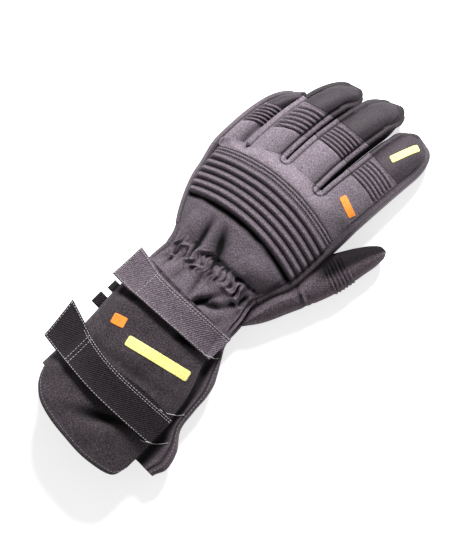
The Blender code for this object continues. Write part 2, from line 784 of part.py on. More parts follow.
def make_thumb(materials, side_index, palm):
    """The thumb's tube, trimmed where it meets the hand, with its own ribs."""
    around = [2 * k / 16 for k in range(16)]
    stations = [0.0, 0.14, 0.30, 0.46, 0.62, 0.78, 0.90, 0.96, 1.0]
    bm = bmesh.new()
    rows = [thumb_ring(t, around) for t in stations]
    verts = add_grid(bm, rows, flip=True, closed=True)
    bm.faces.new(verts[-1][::-1])
    thumb = finish_mesh(bm, "thumb", materials["leather"])
    glove.objects.link(thumb)
    solidify = thumb.modifiers.new("wall", "SOLIDIFY")
    solidify.thickness = WALL
    solidify.offset = -1
    cut(thumb, hand_core())

    bore_rows = [thumb_ring(t, around, -WALL - PANEL_GAP) for t in stations[:6]]
    bore = make_cutter("thumb_bore", bore_rows, flip=True)
    for panel in (side_index, palm):
        cut(panel, bore)

    ribs_around = steps(THUMB_RIB_RIGHT, THUMB_RIB_LEFT, 6)
    shares = steps(0, 1, THUMB_RIBS * RIB_STEPS)
    inner, outer = [], []
    for s in shares:
        t = mix(THUMB_RIBS_FROM, THUMB_RIBS_TO, s)
        inner.append(thumb_ring(t, ribs_around, PANEL_GAP))
        rise = THUMB_RIB_HEIGHT * rib_rise(s, THUMB_RIBS)
        row = []
        for k, turn in enumerate(ribs_around):
            fade = end_fade(k / 6, 0.17)
            outset = 2 * PANEL_GAP + rise * fade
            row.append(thumb_ring(t, [turn], outset)[0])
        outer.append(row)
    return padded_panel("ribs_thumb", outer, inner, materials["quilted"])


def make_gathered_wrist(materials):
    """The elastic waist between hand and cuff, puckered all round."""
    rows = []
    for s in steps(0, 1, 6):
        y = mix(GATHER_TOP - PANEL_GAP, -GATHER_BOTTOM + PANEL_GAP, s)
        loop = body_loop(y, GATHER_COLUMNS, 2, 12)
        section = body_section(y)
        count = len(loop)
        row = []
        for k, p in enumerate(loop):
            run = loop[(k + 1) % count] - loop[k - 1]
            out = Vector((-run.z, 0, run.x)).normalized()
            pucker = GATHER_HEIGHT * (1 if k % 2 else -1) * math.sin(math.pi * s) ** 0.8
            across = across_of(section, p.x)
            on_back = 1.0 if k <= GATHER_COLUMNS else 0.0
            fold = FOLD_DEPTH * fold_depth(across) * (1 - s) ** 1.5 * on_back
            fold *= end_fade((across + 1) / 2, 0.08) if on_back else 0.0
            shift = out * (pucker - fold)
            if p.z < GATHER_HEIGHT:
                shift = Vector((0, 0, GATHER_HEIGHT + pucker))
            row.append(p + shift)
        rows.append(row)
    return sheet("gathered_wrist", [rows], materials["shell"], WALL, flip=True, closed=True)


def side_half(y, side, low, high, count):
    return [body_side(y, side, v) for v in steps(low, high, count)]


def make_cuff(materials):
    """Back with its tongue, palm side, and the folded gusset between them."""
    start = -GATHER_BOTTOM - PANEL_GAP
    back_rows, palm_rows, gusset_rows = [], [], []
    for s in steps(0, 1, 10):
        plain_y = mix(start, -CUFF_LENGTH, s)
        section = body_section(plain_y)
        seam = (PANEL_GAP / 2 + WALL / 4) / (section.upper - section.lower)
        row = side_half(plain_y, -1, 0.5 - seam, 0, 2)[:-1]
        for q in steps(-1, 1, 14):
            end = -CUFF_LENGTH - TONGUE_LENGTH * read(TONGUE_EDGE, "reach", q)
            y = mix(start, end, s)
            here = body_section(y)
            row.append(body_top(mix(here.left, here.right, (q + 1) / 2), y))
        back_rows.append(row)

        row = side_half(plain_y, -1, 0.5 + seam, 1, 2)[:-1]
        palm_right = section.right + section.gusset * section.fold * GUSSET_FOLD[-1][2]
        for q in steps(-1, 1, 10):
            x = mix(section.left, palm_right, (q + 1) / 2)
            row.append(Vector((x, plain_y, floor_height(section.floor, section.lower, q))))
        palm_rows.append(row)

        high = section.upper - mix(1.5 * PANEL_GAP, WALL + PANEL_GAP, section.fold)
        low = section.lower + 1.5 * PANEL_GAP
        row = []
        for step, down, out in GUSSET_FOLD[1:]:
            even = step / GUSSET_FOLD[-1][0]
            bulge = SIDE_BULGE * 4 * even * (1 - even)
            x = section.right + mix(bulge, section.gusset * out, section.fold)
            row.append(Vector((x, plain_y, mix(high, low, mix(even, down, section.fold)))))
        gusset_rows.append(row)
    sheet("cuff_back", [back_rows], materials["shell"], WALL, flip=True)
    sheet("cuff_palm", [palm_rows], materials["shell"], WALL)
    sheet("cuff_gusset", [gusset_rows], materials["shell"], WALL, flip=True)


def make_strap(name, run, at, width, ends, materials):
    """A broad strap over the cuff's back, free at the little finger's side."""
    section = body_section(-at)
    low_x = section.left - SIDE_BULGE - ends[0]
    high_x = section.right + ends[1]
    rows = []
    for s in steps(0, 1, 17):
        x = mix(low_x, high_x, s)
        middle = -at + width * read(run, "rise", s)
        half = width * read(run, "width", s) / 2
        row = []
        for v in steps(-1, 1, 3):
            y = middle + half * v
            here = body_section(y)
            on_cuff = max(x, here.left + SIDE_BULGE)
            height = body_top(on_cuff, y).z + STRAP_SEAT + STRAP_THICKNESS
            height -= 0.35 * (on_cuff - x)
            height += STRAP_LIFT * max(0.0, -v) ** 2
            row.append(Vector((x, y, height)))
        rows.append(row)
    return sheet(name, [rows], materials["strap"], STRAP_THICKNESS, flip=True)


def box(name, low, high, material):
    low, high = Vector(low), Vector(high)
    bm = bmesh.new()
    place = Matrix.LocRotScale((low + high) / 2, None, high - low)
    bmesh.ops.create_cube(bm, size=1, matrix=place)
    obj = finish_mesh(bm, name, material)
    glove.objects.link(obj)
    return obj


def make_label_and_loop(materials):
    """A flat label and a small hanging loop, sewn to the cuff on the little finger's side."""
    section = body_section(-LABEL_AT)
    x = section.left - SIDE_BULGE - PANEL_GAP
    z = (section.upper + section.lower) / 2
    box(
        "label",
        (x - LABEL_REACH, -LABEL_AT - LABEL_WIDTH / 2, z - LABEL_THICKNESS / 2),
        (x, -LABEL_AT + LABEL_WIDTH / 2, z + LABEL_THICKNESS / 2),
        materials["label"],
    )
    section = body_section(-LOOP_AT)
    edge = section.left - SIDE_BULGE - PANEL_GAP
    z = (section.upper + section.lower) / 2
    half = LOOP_OPENING / 2
    path = [(0, -half), (-0.55 * LOOP_REACH, -half)]
    for turn in steps(0, 180, 6):
        a = math.radians(turn)
        path.append((-LOOP_REACH + half - half * math.sin(a), -half * math.cos(a)))
    path += [(-0.55 * LOOP_REACH, half), (0, half)]
    rows = []
    for y in (-LOOP_AT - LOOP_WIDTH / 2, -LOOP_AT + LOOP_WIDTH / 2):
        rows.append([Vector((edge + dx, y, z + dz)) for dx, dz in path])
    loop = sheet("loop", [rows], materials["strap"], LOOP_THICKNESS)
    return loop


def make_material(name, colour, roughness):
    material = bpy.data.materials.new(name)
    material.diffuse_color = (*colour, 1)
    material.use_nodes = True
    surface = material.node_tree.nodes["Principled BSDF"]
    surface.inputs["Base Color"].default_value = (*colour, 1)
    surface.inputs["Roughness"].default_value = roughness
    surface.inputs["Metallic"].default_value = 0.0
    return material


def centre_on_floor(collections):
    """Moves everything so that the glove's box stands centred on the origin."""
    bpy.context.view_layer.update()
    graph = bpy.context.evaluated_depsgraph_get()
    corners = [
        Vector(corner)
        for obj in collections[0].objects
        for corner in obj.evaluated_get(graph).bound_box
    ]
    low = Vector(min(c[k] for c in corners) for k in range(3))
    high = Vector(max(c[k] for c in corners) for k in range(3))
    shift = Vector((-(low.x + high.x) / 2, -(low.y + high.y) / 2, -low.z))
    for collection in collections:
        for obj in collection.objects:
            obj.location = shift


for old in list(bpy.data.objects):
    bpy.data.objects.remove(old)
glove = bpy.data.collections.new("glove")
cutters = bpy.data.collections.new("cutters")
for collection in (glove, cutters):
    bpy.context.scene.collection.children.link(collection)

cloths = {
    "shell": make_material("shell", (0.10, 0.09, 0.10), 0.85),
    "quilted": make_material("quilted", (0.12, 0.11, 0.12), 0.8),
    "leather": make_material("leather", (0.05, 0.05, 0.055), 0.7),
    "strap": make_material("strap", (0.08, 0.075, 0.08), 0.8),
    "label": make_material("label", (0.02, 0.02, 0.02), 0.7),
}
make_hand_back(cloths)
make_knuckle_pad(cloths)
make_finger_panels(cloths)
make_wrist_back(cloths)
palm = make_palm(cloths)
strips = make_side_strips(cloths)
make_thumb(cloths, strips["side_index"], palm)
make_gathered_wrist(cloths)
make_cuff(cloths)
make_strap(
    "upper_strap", UPPER_STRAP_RUN, UPPER_STRAP_AT, UPPER_STRAP_WIDTH, UPPER_STRAP_ENDS, cloths
)
make_strap(
    "lower_strap", LOWER_STRAP_RUN, LOWER_STRAP_AT, LOWER_STRAP_WIDTH, LOWER_STRAP_ENDS, cloths
)
make_label_and_loop(cloths)
centre_on_floor((glove, cutters))
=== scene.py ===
# Firefighter glove for the left hand, lying palm down on a pale floor.
# +Y runs to the fingertips, +X to the thumb side, +Z out of the back of the hand. Metres.

import math
from functools import lru_cache

import bmesh
import bpy
import numpy as np
from mathutils import Matrix, Vector, kdtree
from mathutils.bvhtree import BVHTree


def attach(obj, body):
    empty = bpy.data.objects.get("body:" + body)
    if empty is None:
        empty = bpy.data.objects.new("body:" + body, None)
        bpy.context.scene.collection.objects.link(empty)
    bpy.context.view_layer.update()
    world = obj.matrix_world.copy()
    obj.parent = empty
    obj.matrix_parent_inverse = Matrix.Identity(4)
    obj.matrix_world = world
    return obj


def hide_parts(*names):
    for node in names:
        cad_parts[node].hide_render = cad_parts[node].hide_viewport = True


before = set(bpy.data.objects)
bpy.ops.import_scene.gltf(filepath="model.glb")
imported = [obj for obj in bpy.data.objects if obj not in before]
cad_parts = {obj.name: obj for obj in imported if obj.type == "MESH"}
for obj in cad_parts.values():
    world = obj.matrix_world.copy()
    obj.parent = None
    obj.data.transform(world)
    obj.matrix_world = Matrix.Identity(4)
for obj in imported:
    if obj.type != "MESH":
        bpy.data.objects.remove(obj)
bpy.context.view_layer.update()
print("frame loaded:", len(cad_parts), "nodes")

# Sizes are laid out from the waist of the wrist; this moves them to the frame's own origin
waist = np.array((-0.005661, -0.022695, 0.0))
mm = 0.001


def mix(a, b, share):
    return a + (b - a) * share


def steps(low, high, count):
    return np.linspace(low, high, count + 1)


def smooth(low, high, value):
    share = np.clip((value - low) / (high - low), 0, 1)
    return share * share * (3 - 2 * share)


def bump(value, centre, width):
    return np.exp(-(((value - centre) / width) ** 2))


@lru_cache(maxsize=None)
def curveOf(table, column):
    # the same smooth curve through the rows that the solids follow
    k = table[0].index(column)
    at = [row[0] for row in table[1:]]
    value = [row[k] for row in table[1:]]
    last = len(at) - 1
    slope = []
    for j in range(len(at)):
        low, high = max(j - 1, 0), min(j + 1, last)
        slope.append((value[high] - value[low]) / (at[high] - at[low]))
    places, heights = [], []
    for i in range(last):
        run = at[i + 1] - at[i]
        for s in np.linspace(0, 1, 60, endpoint=i == last - 1):
            start = (2 * s**3 - 3 * s**2 + 1) * value[i] + (s**3 - 2 * s**2 + s) * run * slope[i]
            stop = (3 * s**2 - 2 * s**3) * value[i + 1] + (s**3 - s**2) * run * slope[i + 1]
            places.append(at[i] + s * run)
            heights.append(start + stop)
    return np.array(places), np.array(heights)


def read(table, column, at):
    places, heights = curveOf(table, column)
    return np.interp(at, places, heights)


@lru_cache(maxsize=None)
def lattice(seed):
    return np.random.default_rng(seed).uniform(-1, 1, (32, 32, 32))


def cloud(points, size, seed=1):
    # soft noise from -1 to 1; size is the distance between its knots
    at = np.asarray(points) / size + 400
    cell = np.floor(at).astype(int)
    part = at - cell
    part = part * part * (3 - 2 * part)
    knots = lattice(seed)
    total = 0
    for corner in np.ndindex(2, 2, 2):
        share = np.prod(np.where(np.array(corner) == 1, part, 1 - part), axis=-1)
        i, j, k = np.moveaxis((cell + corner) % 32, -1, 0)
        total = total + share * knots[i, j, k]
    return total


def dents(table, at):
    # soft oval dents: place, half length along its heading, half width, depth in millimetres
    x, y = at[..., 0], at[..., 1]
    total = 0
    for cx, cy, heading, length, width, depth in table[1:]:
        turn = math.radians(heading)
        dx, dy = (x - cx * mm), (y - cy * mm)
        along = dx * math.cos(turn) + dy * math.sin(turn)
        aside = dy * math.cos(turn) - dx * math.sin(turn)
        total = total + depth * mm * np.exp(-((along / (length * mm)) ** 2) - (aside / (width * mm)) ** 2)
    return total


def place(x, y, z):
    return np.stack(np.broadcast_arrays(x, y, z), axis=-1).astype(float)


hand = {
    "length": 0.117,  # waist of the wrist to the fork of middle and index finger
    "left": 0.072,
    "right": 0.054,
    "depth": 0.048,
    "wristLeft": 0.0385,
    "wristRight": 0.0415,
    "wristDepth": 0.043,
    "sideBulge": 0.0045,
    "crownPower": 2.4,
    "flatShare": 0.60,  # share of the palm's half width that lies flat
    "wall": 0.0024,
    "gap": 0.0004,  # between panels that meet at a seam
}
# Growth from the wrist's size (0) to the hand's (1); heights are shares of the depth there
handSections = (
    ("along", "left", "right", "depth", "upper", "lower", "floor"),
    (0.00, 0.00, 0.00, 0.00, 0.60, 0.24, 0.00),
    (0.10, 0.10, -0.14, 0.30, 0.60, 0.24, 0.00),
    (0.24, 0.42, 0.12, 0.60, 0.59, 0.23, 0.00),
    (0.38, 0.67, 0.68, 0.80, 0.58, 0.22, 0.00),
    (0.51, 0.82, 0.84, 0.92, 0.58, 0.22, 0.00),
    (0.74, 0.91, 0.90, 1.00, 0.59, 0.22, 0.00),
    (0.87, 0.98, 0.93, 0.96, 0.61, 0.23, 0.02),
    (1.00, 1.00, 1.00, 0.88, 0.66, 0.24, 0.05),
)
cuff = {
    "length": 0.138,  # waist of the wrist to the mouth
    "left": 0.041,
    "right": 0.066,
    "depth": 0.052,
    "tongue": 0.028,  # how far the back reaches past the palm side
    "gusset": 0.0215,
}
cuffSections = (
    ("along", "left", "right", "depth", "upper", "lower", "floor", "gusset", "fold"),
    (0.00, 0.00, 0.00, 0.00, 0.60, 0.24, 0.00, 0.21, 0.00),
    (0.13, 0.90, 0.10, 0.35, 0.60, 0.22, 0.00, 0.26, 0.00),
    (0.24, 1.00, 0.16, 0.62, 0.61, 0.21, 0.00, 0.56, 0.60),
    (0.36, 1.00, 0.38, 0.84, 0.62, 0.20, 0.00, 0.67, 1.00),
    (0.46, 0.80, 0.62, 0.95, 0.62, 0.20, 0.00, 0.54, 1.00),
    (0.56, 0.35, 0.78, 1.00, 0.62, 0.20, 0.00, 0.44, 1.00),
    (0.70, 0.00, 0.88, 1.02, 0.62, 0.20, 0.00, 0.50, 1.00),
    (0.81, 0.05, 0.96, 1.00, 0.63, 0.20, 0.00, 0.90, 1.00),
    (0.92, 0.35, 1.00, 0.96, 0.64, 0.21, 0.00, 1.00, 1.00),
    (1.00, 0.45, 1.02, 0.93, 0.65, 0.21, 0.00, 0.78, 1.00),
    (1.21, 0.45, 1.02, 0.80, 0.72, 0.21, 0.00, 0.78, 1.00),
)


def bodySection(y):
    y = np.asarray(y, float)
    up, down = y / hand["length"], -y / cuff["length"]

    def either(column):
        return np.where(y >= 0, read(handSections, column, up), read(cuffSections, column, down))

    depth = np.where(y >= 0, hand["depth"], cuff["depth"])
    crown = mix(hand["wristDepth"], depth, either("depth"))
    onCuff = y < 0
    return {
        "left": -mix(hand["wristLeft"], np.where(onCuff, cuff["left"], hand["left"]), either("left")),
        "right": mix(hand["wristRight"], np.where(onCuff, cuff["right"], hand["right"]), either("right")),
        "crown": crown,
        "upper": crown * either("upper"),
        "lower": crown * either("lower"),
        "floor": crown * np.maximum(0, either("floor")),
        "gusset": np.where(onCuff, cuff["gusset"] * read(cuffSections, "gusset", down), 0),
        "fold": np.where(onCuff, read(cuffSections, "fold", down), 0),
    }


def crownHeight(upper, crown, across):
    return upper + (crown - upper) * (1 - np.abs(across) ** hand["crownPower"])


def floorHeight(floor, lower, across):
    rising = np.maximum(0, (np.abs(across) - hand["flatShare"]) / (1 - hand["flatShare"]))
    return floor + (lower - floor) * rising**2


def acrossOf(section, x):
    return (2 * x - section["left"] - section["right"]) / (section["right"] - section["left"])


def bodyTop(x, y):
    s = bodySection(y)
    across = np.clip(acrossOf(s, x), -1, 1)
    return place(x, y, crownHeight(s["upper"], s["crown"], across))


def bodySide(y, side, down):
    s = bodySection(y)
    edge = s["left"] if side < 0 else s["right"]
    bulge = hand["sideBulge"] * 4 * down * (1 - down)
    return place(edge + side * bulge, y, mix(s["upper"], s["lower"], down))


def bodyFloor(across, y):
    s = bodySection(y)
    x = mix(s["left"], s["right"], (across + 1) / 2)
    return place(x, y, floorHeight(s["floor"], s["lower"], across))


finger = {
    "length": 0.090,
    "width": 0.0285,
    "depth": 0.030,
    "crown": 0.0065,
    "tipDepth": 0.019,
    "tipStart": 0.72,
    "tipFlat": 0.34,
    "narrowing": 0.10,
    "forkClearance": 0.0012,
    "slotReach": 0.0075,
    "rollReach": 0.0040,
    "capRise": 0.0034,  # how far the tip's cap reaches past and down over its walls
    "capWidth": 1.20,
}
fingerColumns = "name root lean bend half rootLeft rootRight tipLeft tipRight lift ribsFrom ribsTo"
# Centre, lean, half width and fork heights as shares of the hand's and the middle finger's sizes
fingerRows = (
    ("little", -0.512, 0.100, 3.0, 0.28, 0.78, 0.86, 0.42, 0.50, 0.78, 0.34, 0.68),
    ("ring", -0.299, 0.112, 3.0, 0.44, 0.86, 0.99, 0.82, 0.85, 0.95, 0.30, 0.62),
    ("middle", -0.024, 0.100, 2.0, 0.49, 0.99, 1.00, 0.955, 1.00, 1.00, 0.34, 0.57),
    ("index", 0.292, 0.066, 1.0, 0.58, 1.00, 0.98, 0.92, 0.90, 0.93, 0.33, 0.58),
)
fingers = [dict(zip(fingerColumns.split(), row)) for row in fingerRows]
# Side view of a finger: fall from the hand's height (0) to the fingertip's (1)
fingerSections = (
    ("along", "fall", "crown", "lower", "floor"),
    (0.00, 0.00, 1.00, 0.36, 0.08),
    (0.25, 0.04, 1.00, 0.37, 0.16),
    (0.50, 0.20, 0.95, 0.37, 0.19),
    (0.70, 0.38, 0.85, 0.31, 0.12),
    (0.85, 0.58, 0.72, 0.23, 0.05),
    (0.95, 0.79, 0.55, 0.20, 0.04),
    (1.00, 1.00, 0.38, 0.22, 0.10),
)
fingerColumnsAcross = 34


def taper(along):
    past = np.maximum(0, (along - finger["tipStart"]) / (1 - finger["tipStart"]))
    narrowed = 1 - finger["narrowing"] * along
    rounded = np.sqrt(np.maximum(0, 1 - past**2))
    return narrowed * (finger["tipFlat"] + (1 - finger["tipFlat"]) * rounded)


def fingerEnds(f, across):
    side = (across + 1) / 2
    root = mix(f["rootLeft"], f["rootRight"], side) * hand["length"]
    tip = hand["length"] + mix(f["tipLeft"], f["tipRight"], side) * finger["length"]
    return root, tip


def fingerPlan(f, across, along):
    # x and y on a finger: across from seam (-1) to seam (1), along from fork (0) to tip (1)
    root, tip = fingerEnds(f, across)
    handWidth = hand["left"] + hand["right"]
    centre = f["root"] * handWidth + f["lean"] * finger["length"] * along ** f["bend"]
    return centre + across * f["half"] * finger["width"] * taper(along), mix(root, tip, along)


def fingerHeights(f, along):
    rootTop = hand["depth"] * handSections[-1][3] * f["lift"]
    crown = mix(rootTop, finger["tipDepth"], read(fingerSections, "fall", along))
    upper = crown - finger["crown"] * read(fingerSections, "crown", along)
    lower = finger["depth"] * read(fingerSections, "lower", along)
    return crown, upper, lower, finger["depth"] * read(fingerSections, "floor", along)


def fingerTop(f, across, along):
    crown, upper, _, _ = fingerHeights(f, along)
    return place(*fingerPlan(f, across, along), crownHeight(upper, crown, across))


def fingerFloor(f, across, along):
    _, _, lower, floor = fingerHeights(f, along)
    return place(*fingerPlan(f, across, along), floorHeight(floor, lower, across))


def roomBeside(i, side, along):
    # from finger i's seam across to its neighbour's, and how far along the neighbour that is
    j = i + side
    x, y = fingerPlan(fingers[i], float(side), along)
    root, tip = fingerEnds(fingers[j], -float(side))
    share = (y - root) / (tip - root)
    other = fingerPlan(fingers[j], -float(side), np.clip(share, 0, 1))[0]
    return np.abs(other - x), share


def sideGap(i, side, along):
    # half of the room beside finger i on one side, less the clearance
    bulge = np.full(np.shape(along), hand["sideBulge"])
    if not 0 <= i + side < len(fingers):
        return bulge
    room, share = roomBeside(i, side, along)
    half = np.clip((room - finger["forkClearance"]) / 2, 0, hand["sideBulge"])
    return mix(half, bulge, smooth(0.985, 1.02, share))


def slotReach(i, side, along):
    # how far the rolled edge of finger i's back reaches into the slot beside it
    along = np.asarray(along, float)
    if not 0 <= i + side < len(fingers):
        return np.zeros(along.shape)
    room, _ = roomBeside(i, side, along)
    if (i, side) == (0, 1):  # the little finger runs in under the ring finger's welt
        return np.clip(room - 0.0020, 0, finger["slotReach"]) * (1 - smooth(0.80, 0.97, along))
    if (i, side) == (1, -1):
        return np.zeros(along.shape)
    return np.clip(room / 2 - 0.0008, 0, finger["rollReach"])


def wideTop(f, across, along):
    # a finger's back with its rolled edges, across from edge (-1) to edge (1)
    i = fingers.index(f)
    half = f["half"] * finger["width"] * taper(along)
    centre = fingerPlan(f, 0.0, along)[0]
    reaches = slotReach(i, -1, along), slotReach(i, 1, along)
    x = mix(centre - half - reaches[0], centre + half + reaches[1], (across + 1) / 2)
    inner = np.clip((x - centre) / half, -1, 1)
    extra = np.maximum(0, np.abs(x - centre) - half)
    reach = np.where(x < centre, *reaches)
    drop = np.minimum(0.0018, 0.6 * reach) * (extra / np.maximum(reach, 1e-4)) ** 2
    _, y = fingerPlan(f, inner, along)
    crown, upper, _, _ = fingerHeights(f, along)
    end = np.sqrt(np.maximum(0, 1 - np.maximum(0, (along - 0.88) / 0.12) ** 2))
    z = crownHeight(upper, mix(upper, crown, end), inner) - drop
    # the tip's cap stands a little over its side walls
    over = smooth(0.80, 0.95, along)
    x = mix(x, centre + (x - centre) * finger["capWidth"], over)
    front = smooth(0.94, 1.0, along)
    y = y + finger["capRise"] * front * (1 - 0.75 * across**2)
    return place(x, y, z - finger["capRise"] * np.maximum(np.abs(inner) ** 6, front) * over)


def tipShares(low, count, turns):
    # shares along a finger, closer together where its end rounds
    plain = steps(low, finger["tipStart"], count)
    angle = np.radians(np.linspace(90 / turns, 90, turns))
    return np.concatenate([plain, mix(finger["tipStart"], 1.0, np.sin(angle))])


def forkArc(i, point, count):
    # from finger i's right seam round the fork to the next one's left seam
    start = point(fingers[i], 1.0, 0.0)
    end = point(fingers[i + 1], -1.0, 0.0)
    radius = np.linalg.norm(end[:2] - start[:2]) / 2
    turn = np.linspace(0, math.pi, count + 2)[1:-1]
    at = start + (end - start) * ((1 - np.cos(turn)) / 2)[:, None]
    at[:, 1] -= radius * np.sin(turn)
    return at


def forkRow(point, across, arc):
    row = []
    for i, f in enumerate(fingers):
        row.append(point(f, steps(-1, 1, across), 0.0))
        if i + 1 < len(fingers):
            row.append(forkArc(i, point, arc))
    return np.concatenate(row)


def normalsOf(rows, closed=False):
    # upward where rows run to the fingertips and columns to the thumb side
    if closed:  # the last column repeats the first
        around = np.concatenate([rows[:, -2:-1], rows, rows[:, 1:2]], axis=1)
        across = around[:, 2:] - around[:, :-2]
    else:
        across = np.gradient(rows, axis=1)
    normal = np.cross(across, np.gradient(rows, axis=0))
    return normal / np.maximum(np.linalg.norm(normal, axis=-1, keepdims=True), 1e-12)


def raised(rows, height, closed=False):
    return rows + normalsOf(rows, closed) * np.asarray(height)[..., None]


def hollows(height, reach, depth):
    # how far each point lies below its surroundings, from 0 to 1
    around = height
    for axis in (0, 1):
        padded = np.pad(around, [(reach, reach) if k == axis else (0, 0) for k in (0, 1)], mode="edge")
        total = np.cumsum(padded, axis=axis)
        high = np.take(total, range(2 * reach, total.shape[axis]), axis=axis)
        low = np.take(total, range(0, total.shape[axis] - 2 * reach), axis=axis)
        around = (high - low) / (2 * reach)
    return np.clip((around - height) / depth, 0, 1)


def runs(rows):
    # metres along each row from its middle, and along each column from its start: the cloth's own UV
    u = np.zeros(rows.shape[:2])
    u[:, 1:] = np.cumsum(np.linalg.norm(np.diff(rows, axis=1), axis=-1), axis=1)
    u -= u[:, [rows.shape[1] // 2]]
    v = np.zeros(rows.shape[:2])
    v[1:] = np.cumsum(np.linalg.norm(np.diff(rows, axis=0), axis=-1), axis=0)
    return np.stack([u, np.broadcast_to(v.mean(axis=1, keepdims=True), u.shape)], axis=-1)


def newObject(name, data):
    made = bpy.data.objects.new(name, data)
    bpy.context.scene.collection.objects.link(made)
    return made


def addWall(piece, thickness, lined):
    solidify = piece.modifiers.new("wall", "SOLIDIFY")
    solidify.thickness = thickness
    solidify.offset = -1
    solidify.material_offset = int(lined)


# Thickness of the dressed walls, which are a little thinner than the solids
walls = {
    "panel": 0.0022,
    "heavy": 0.0024,
    "gusset": 0.0020,
    "thin": 0.0018,
    "welt": 0.0012,
    "strapLayer": 0.0008,
    "print": 0.0003,
}


def cloth(name, grids, finish, wall=None, lined=True, flip=False, shades=None):
    # open grids of a panel's outer face, welded at shared edges, with a wall behind them
    points, corners, uvs, tones = [], [], [], []
    start = 0
    for k, rows in enumerate(grids):
        size = rows.shape[:2]
        index = np.arange(size[0] * size[1]).reshape(size) + start
        quads = np.stack([index[:-1, :-1], index[:-1, 1:], index[1:, 1:], index[1:, :-1]], axis=-1)
        quads = quads.reshape(-1, 4)
        corners.append(quads[:, ::-1] if flip else quads)
        points.append(rows.reshape(-1, 3))
        uvs.append(runs(rows).reshape(-1, 2))
        # shades: painted shade from 0 to 1 at each point, stored in the shade attribute
        tone = np.clip(shades[k], 0, 1) if shades else 0.0
        tones.append(np.broadcast_to(tone, size).reshape(-1))
        start += index.size
    mesh = bpy.data.meshes.new(name)
    mesh.from_pydata((np.concatenate(points) + waist).tolist(), [], np.concatenate(corners).tolist())
    order = np.zeros(len(mesh.loops), int)
    mesh.loops.foreach_get("vertex_index", order)
    layer = mesh.uv_layers.new(name="weave")
    layer.data.foreach_set("uv", np.concatenate(uvs)[order].astype(np.float32).ravel())
    paintedShade = mesh.attributes.new("shade", "FLOAT", "POINT")
    paintedShade.data.foreach_set("value", np.concatenate(tones).astype(np.float32))
    made = bmesh.new()
    made.from_mesh(mesh)
    bmesh.ops.remove_doubles(made, verts=made.verts, dist=2e-6)
    made.to_mesh(mesh)
    made.free()
    mesh.shade_smooth()
    mesh.set_sharp_from_angle(angle=math.radians(60))
    mesh.materials.append(finishes[finish])
    if lined:
        mesh.materials.append(finishes["lining"])
    piece = newObject(name, mesh)
    if wall:
        addWall(piece, wall, lined)
    return piece


def stands(piece, slot, *nodes):
    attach(piece, "root")
    if nodes:  # without them it is a piece of the scene alone
        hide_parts(*nodes)


def hexColour(text):
    values = [int(text[k : k + 2], 16) / 255 for k in (1, 3, 5)]
    linear = [v / 12.92 if v <= 0.04045 else ((v + 0.055) / 1.055) ** 2.4 for v in values]
    return (*linear, 1)


def addNode(tree, kind, inputs=None, **settings):
    made = tree.nodes.new(kind)
    for key, value in settings.items():
        setattr(made, key, value)
    for key, value in (inputs or {}).items():
        if isinstance(value, bpy.types.NodeSocket):
            tree.links.new(value, made.inputs[key])
        else:
            made.inputs[key].default_value = value
    return made


def setRamp(ramp, stops):
    elements = ramp.color_ramp.elements
    while len(elements) < len(stops):
        elements.new(0.5)
    for element, (at, colour) in zip(elements, stops):
        element.position = at
        element.color = colour


def startMaterial(name, values):
    material = bpy.data.materials.new(name)
    material.use_nodes = True
    surface = material.node_tree.nodes["Principled BSDF"]
    for key, value in values.items():
        surface.inputs[key].default_value = value
    return material, material.node_tree, surface


def noise(tree, where, size, detail, roughness=0.5):
    inputs = {"Vector": where, "Scale": 1 / size, "Detail": detail, "Roughness": roughness}
    return addNode(tree, "ShaderNodeTexNoise", inputs).outputs["Fac"]


def blend(tree, share, first, second, **settings):
    inputs = {"Factor": share, "A": first, "B": second}
    return addNode(tree, "ShaderNodeMix", inputs, data_type="RGBA", **settings).outputs["Result"]


def dye(tree, surface, look, fleck, patches, stops, share):
    # flecks from dark to light under cool and warm patches, darkened towards the crease colour by painted
    # shade from the shade attribute
    tone = addNode(tree, "ShaderNodeValToRGB", {"Fac": fleck})
    setRamp(tone, [(at, hexColour(look[key])) for at, key in zip(stops, ("dark", "base", "light"))])
    patched = blend(tree, patches, hexColour(look["cool"]), hexColour(look["warm"]))
    tinted = blend(tree, share, tone.outputs["Color"], patched, blend_type="OVERLAY")
    shade = addNode(tree, "ShaderNodeAttribute", attribute_name="shade").outputs["Fac"]
    deep = blend(tree, shade, tinted, hexColour(look["crease"]))
    tree.links.new(deep, surface.inputs["Base Color"])


def emboss(tree, surface, height, strength, depth):
    relief = addNode(tree, "ShaderNodeBump", {"Strength": strength, "Distance": depth, "Height": height})
    tree.links.new(relief.outputs["Normal"], surface.inputs["Normal"])


def layered(tree, upper, share, lower):
    inputs = {0: upper, 1: share, 2: lower}
    return addNode(tree, "ShaderNodeMath", inputs, operation="MULTIPLY_ADD").outputs["Value"]


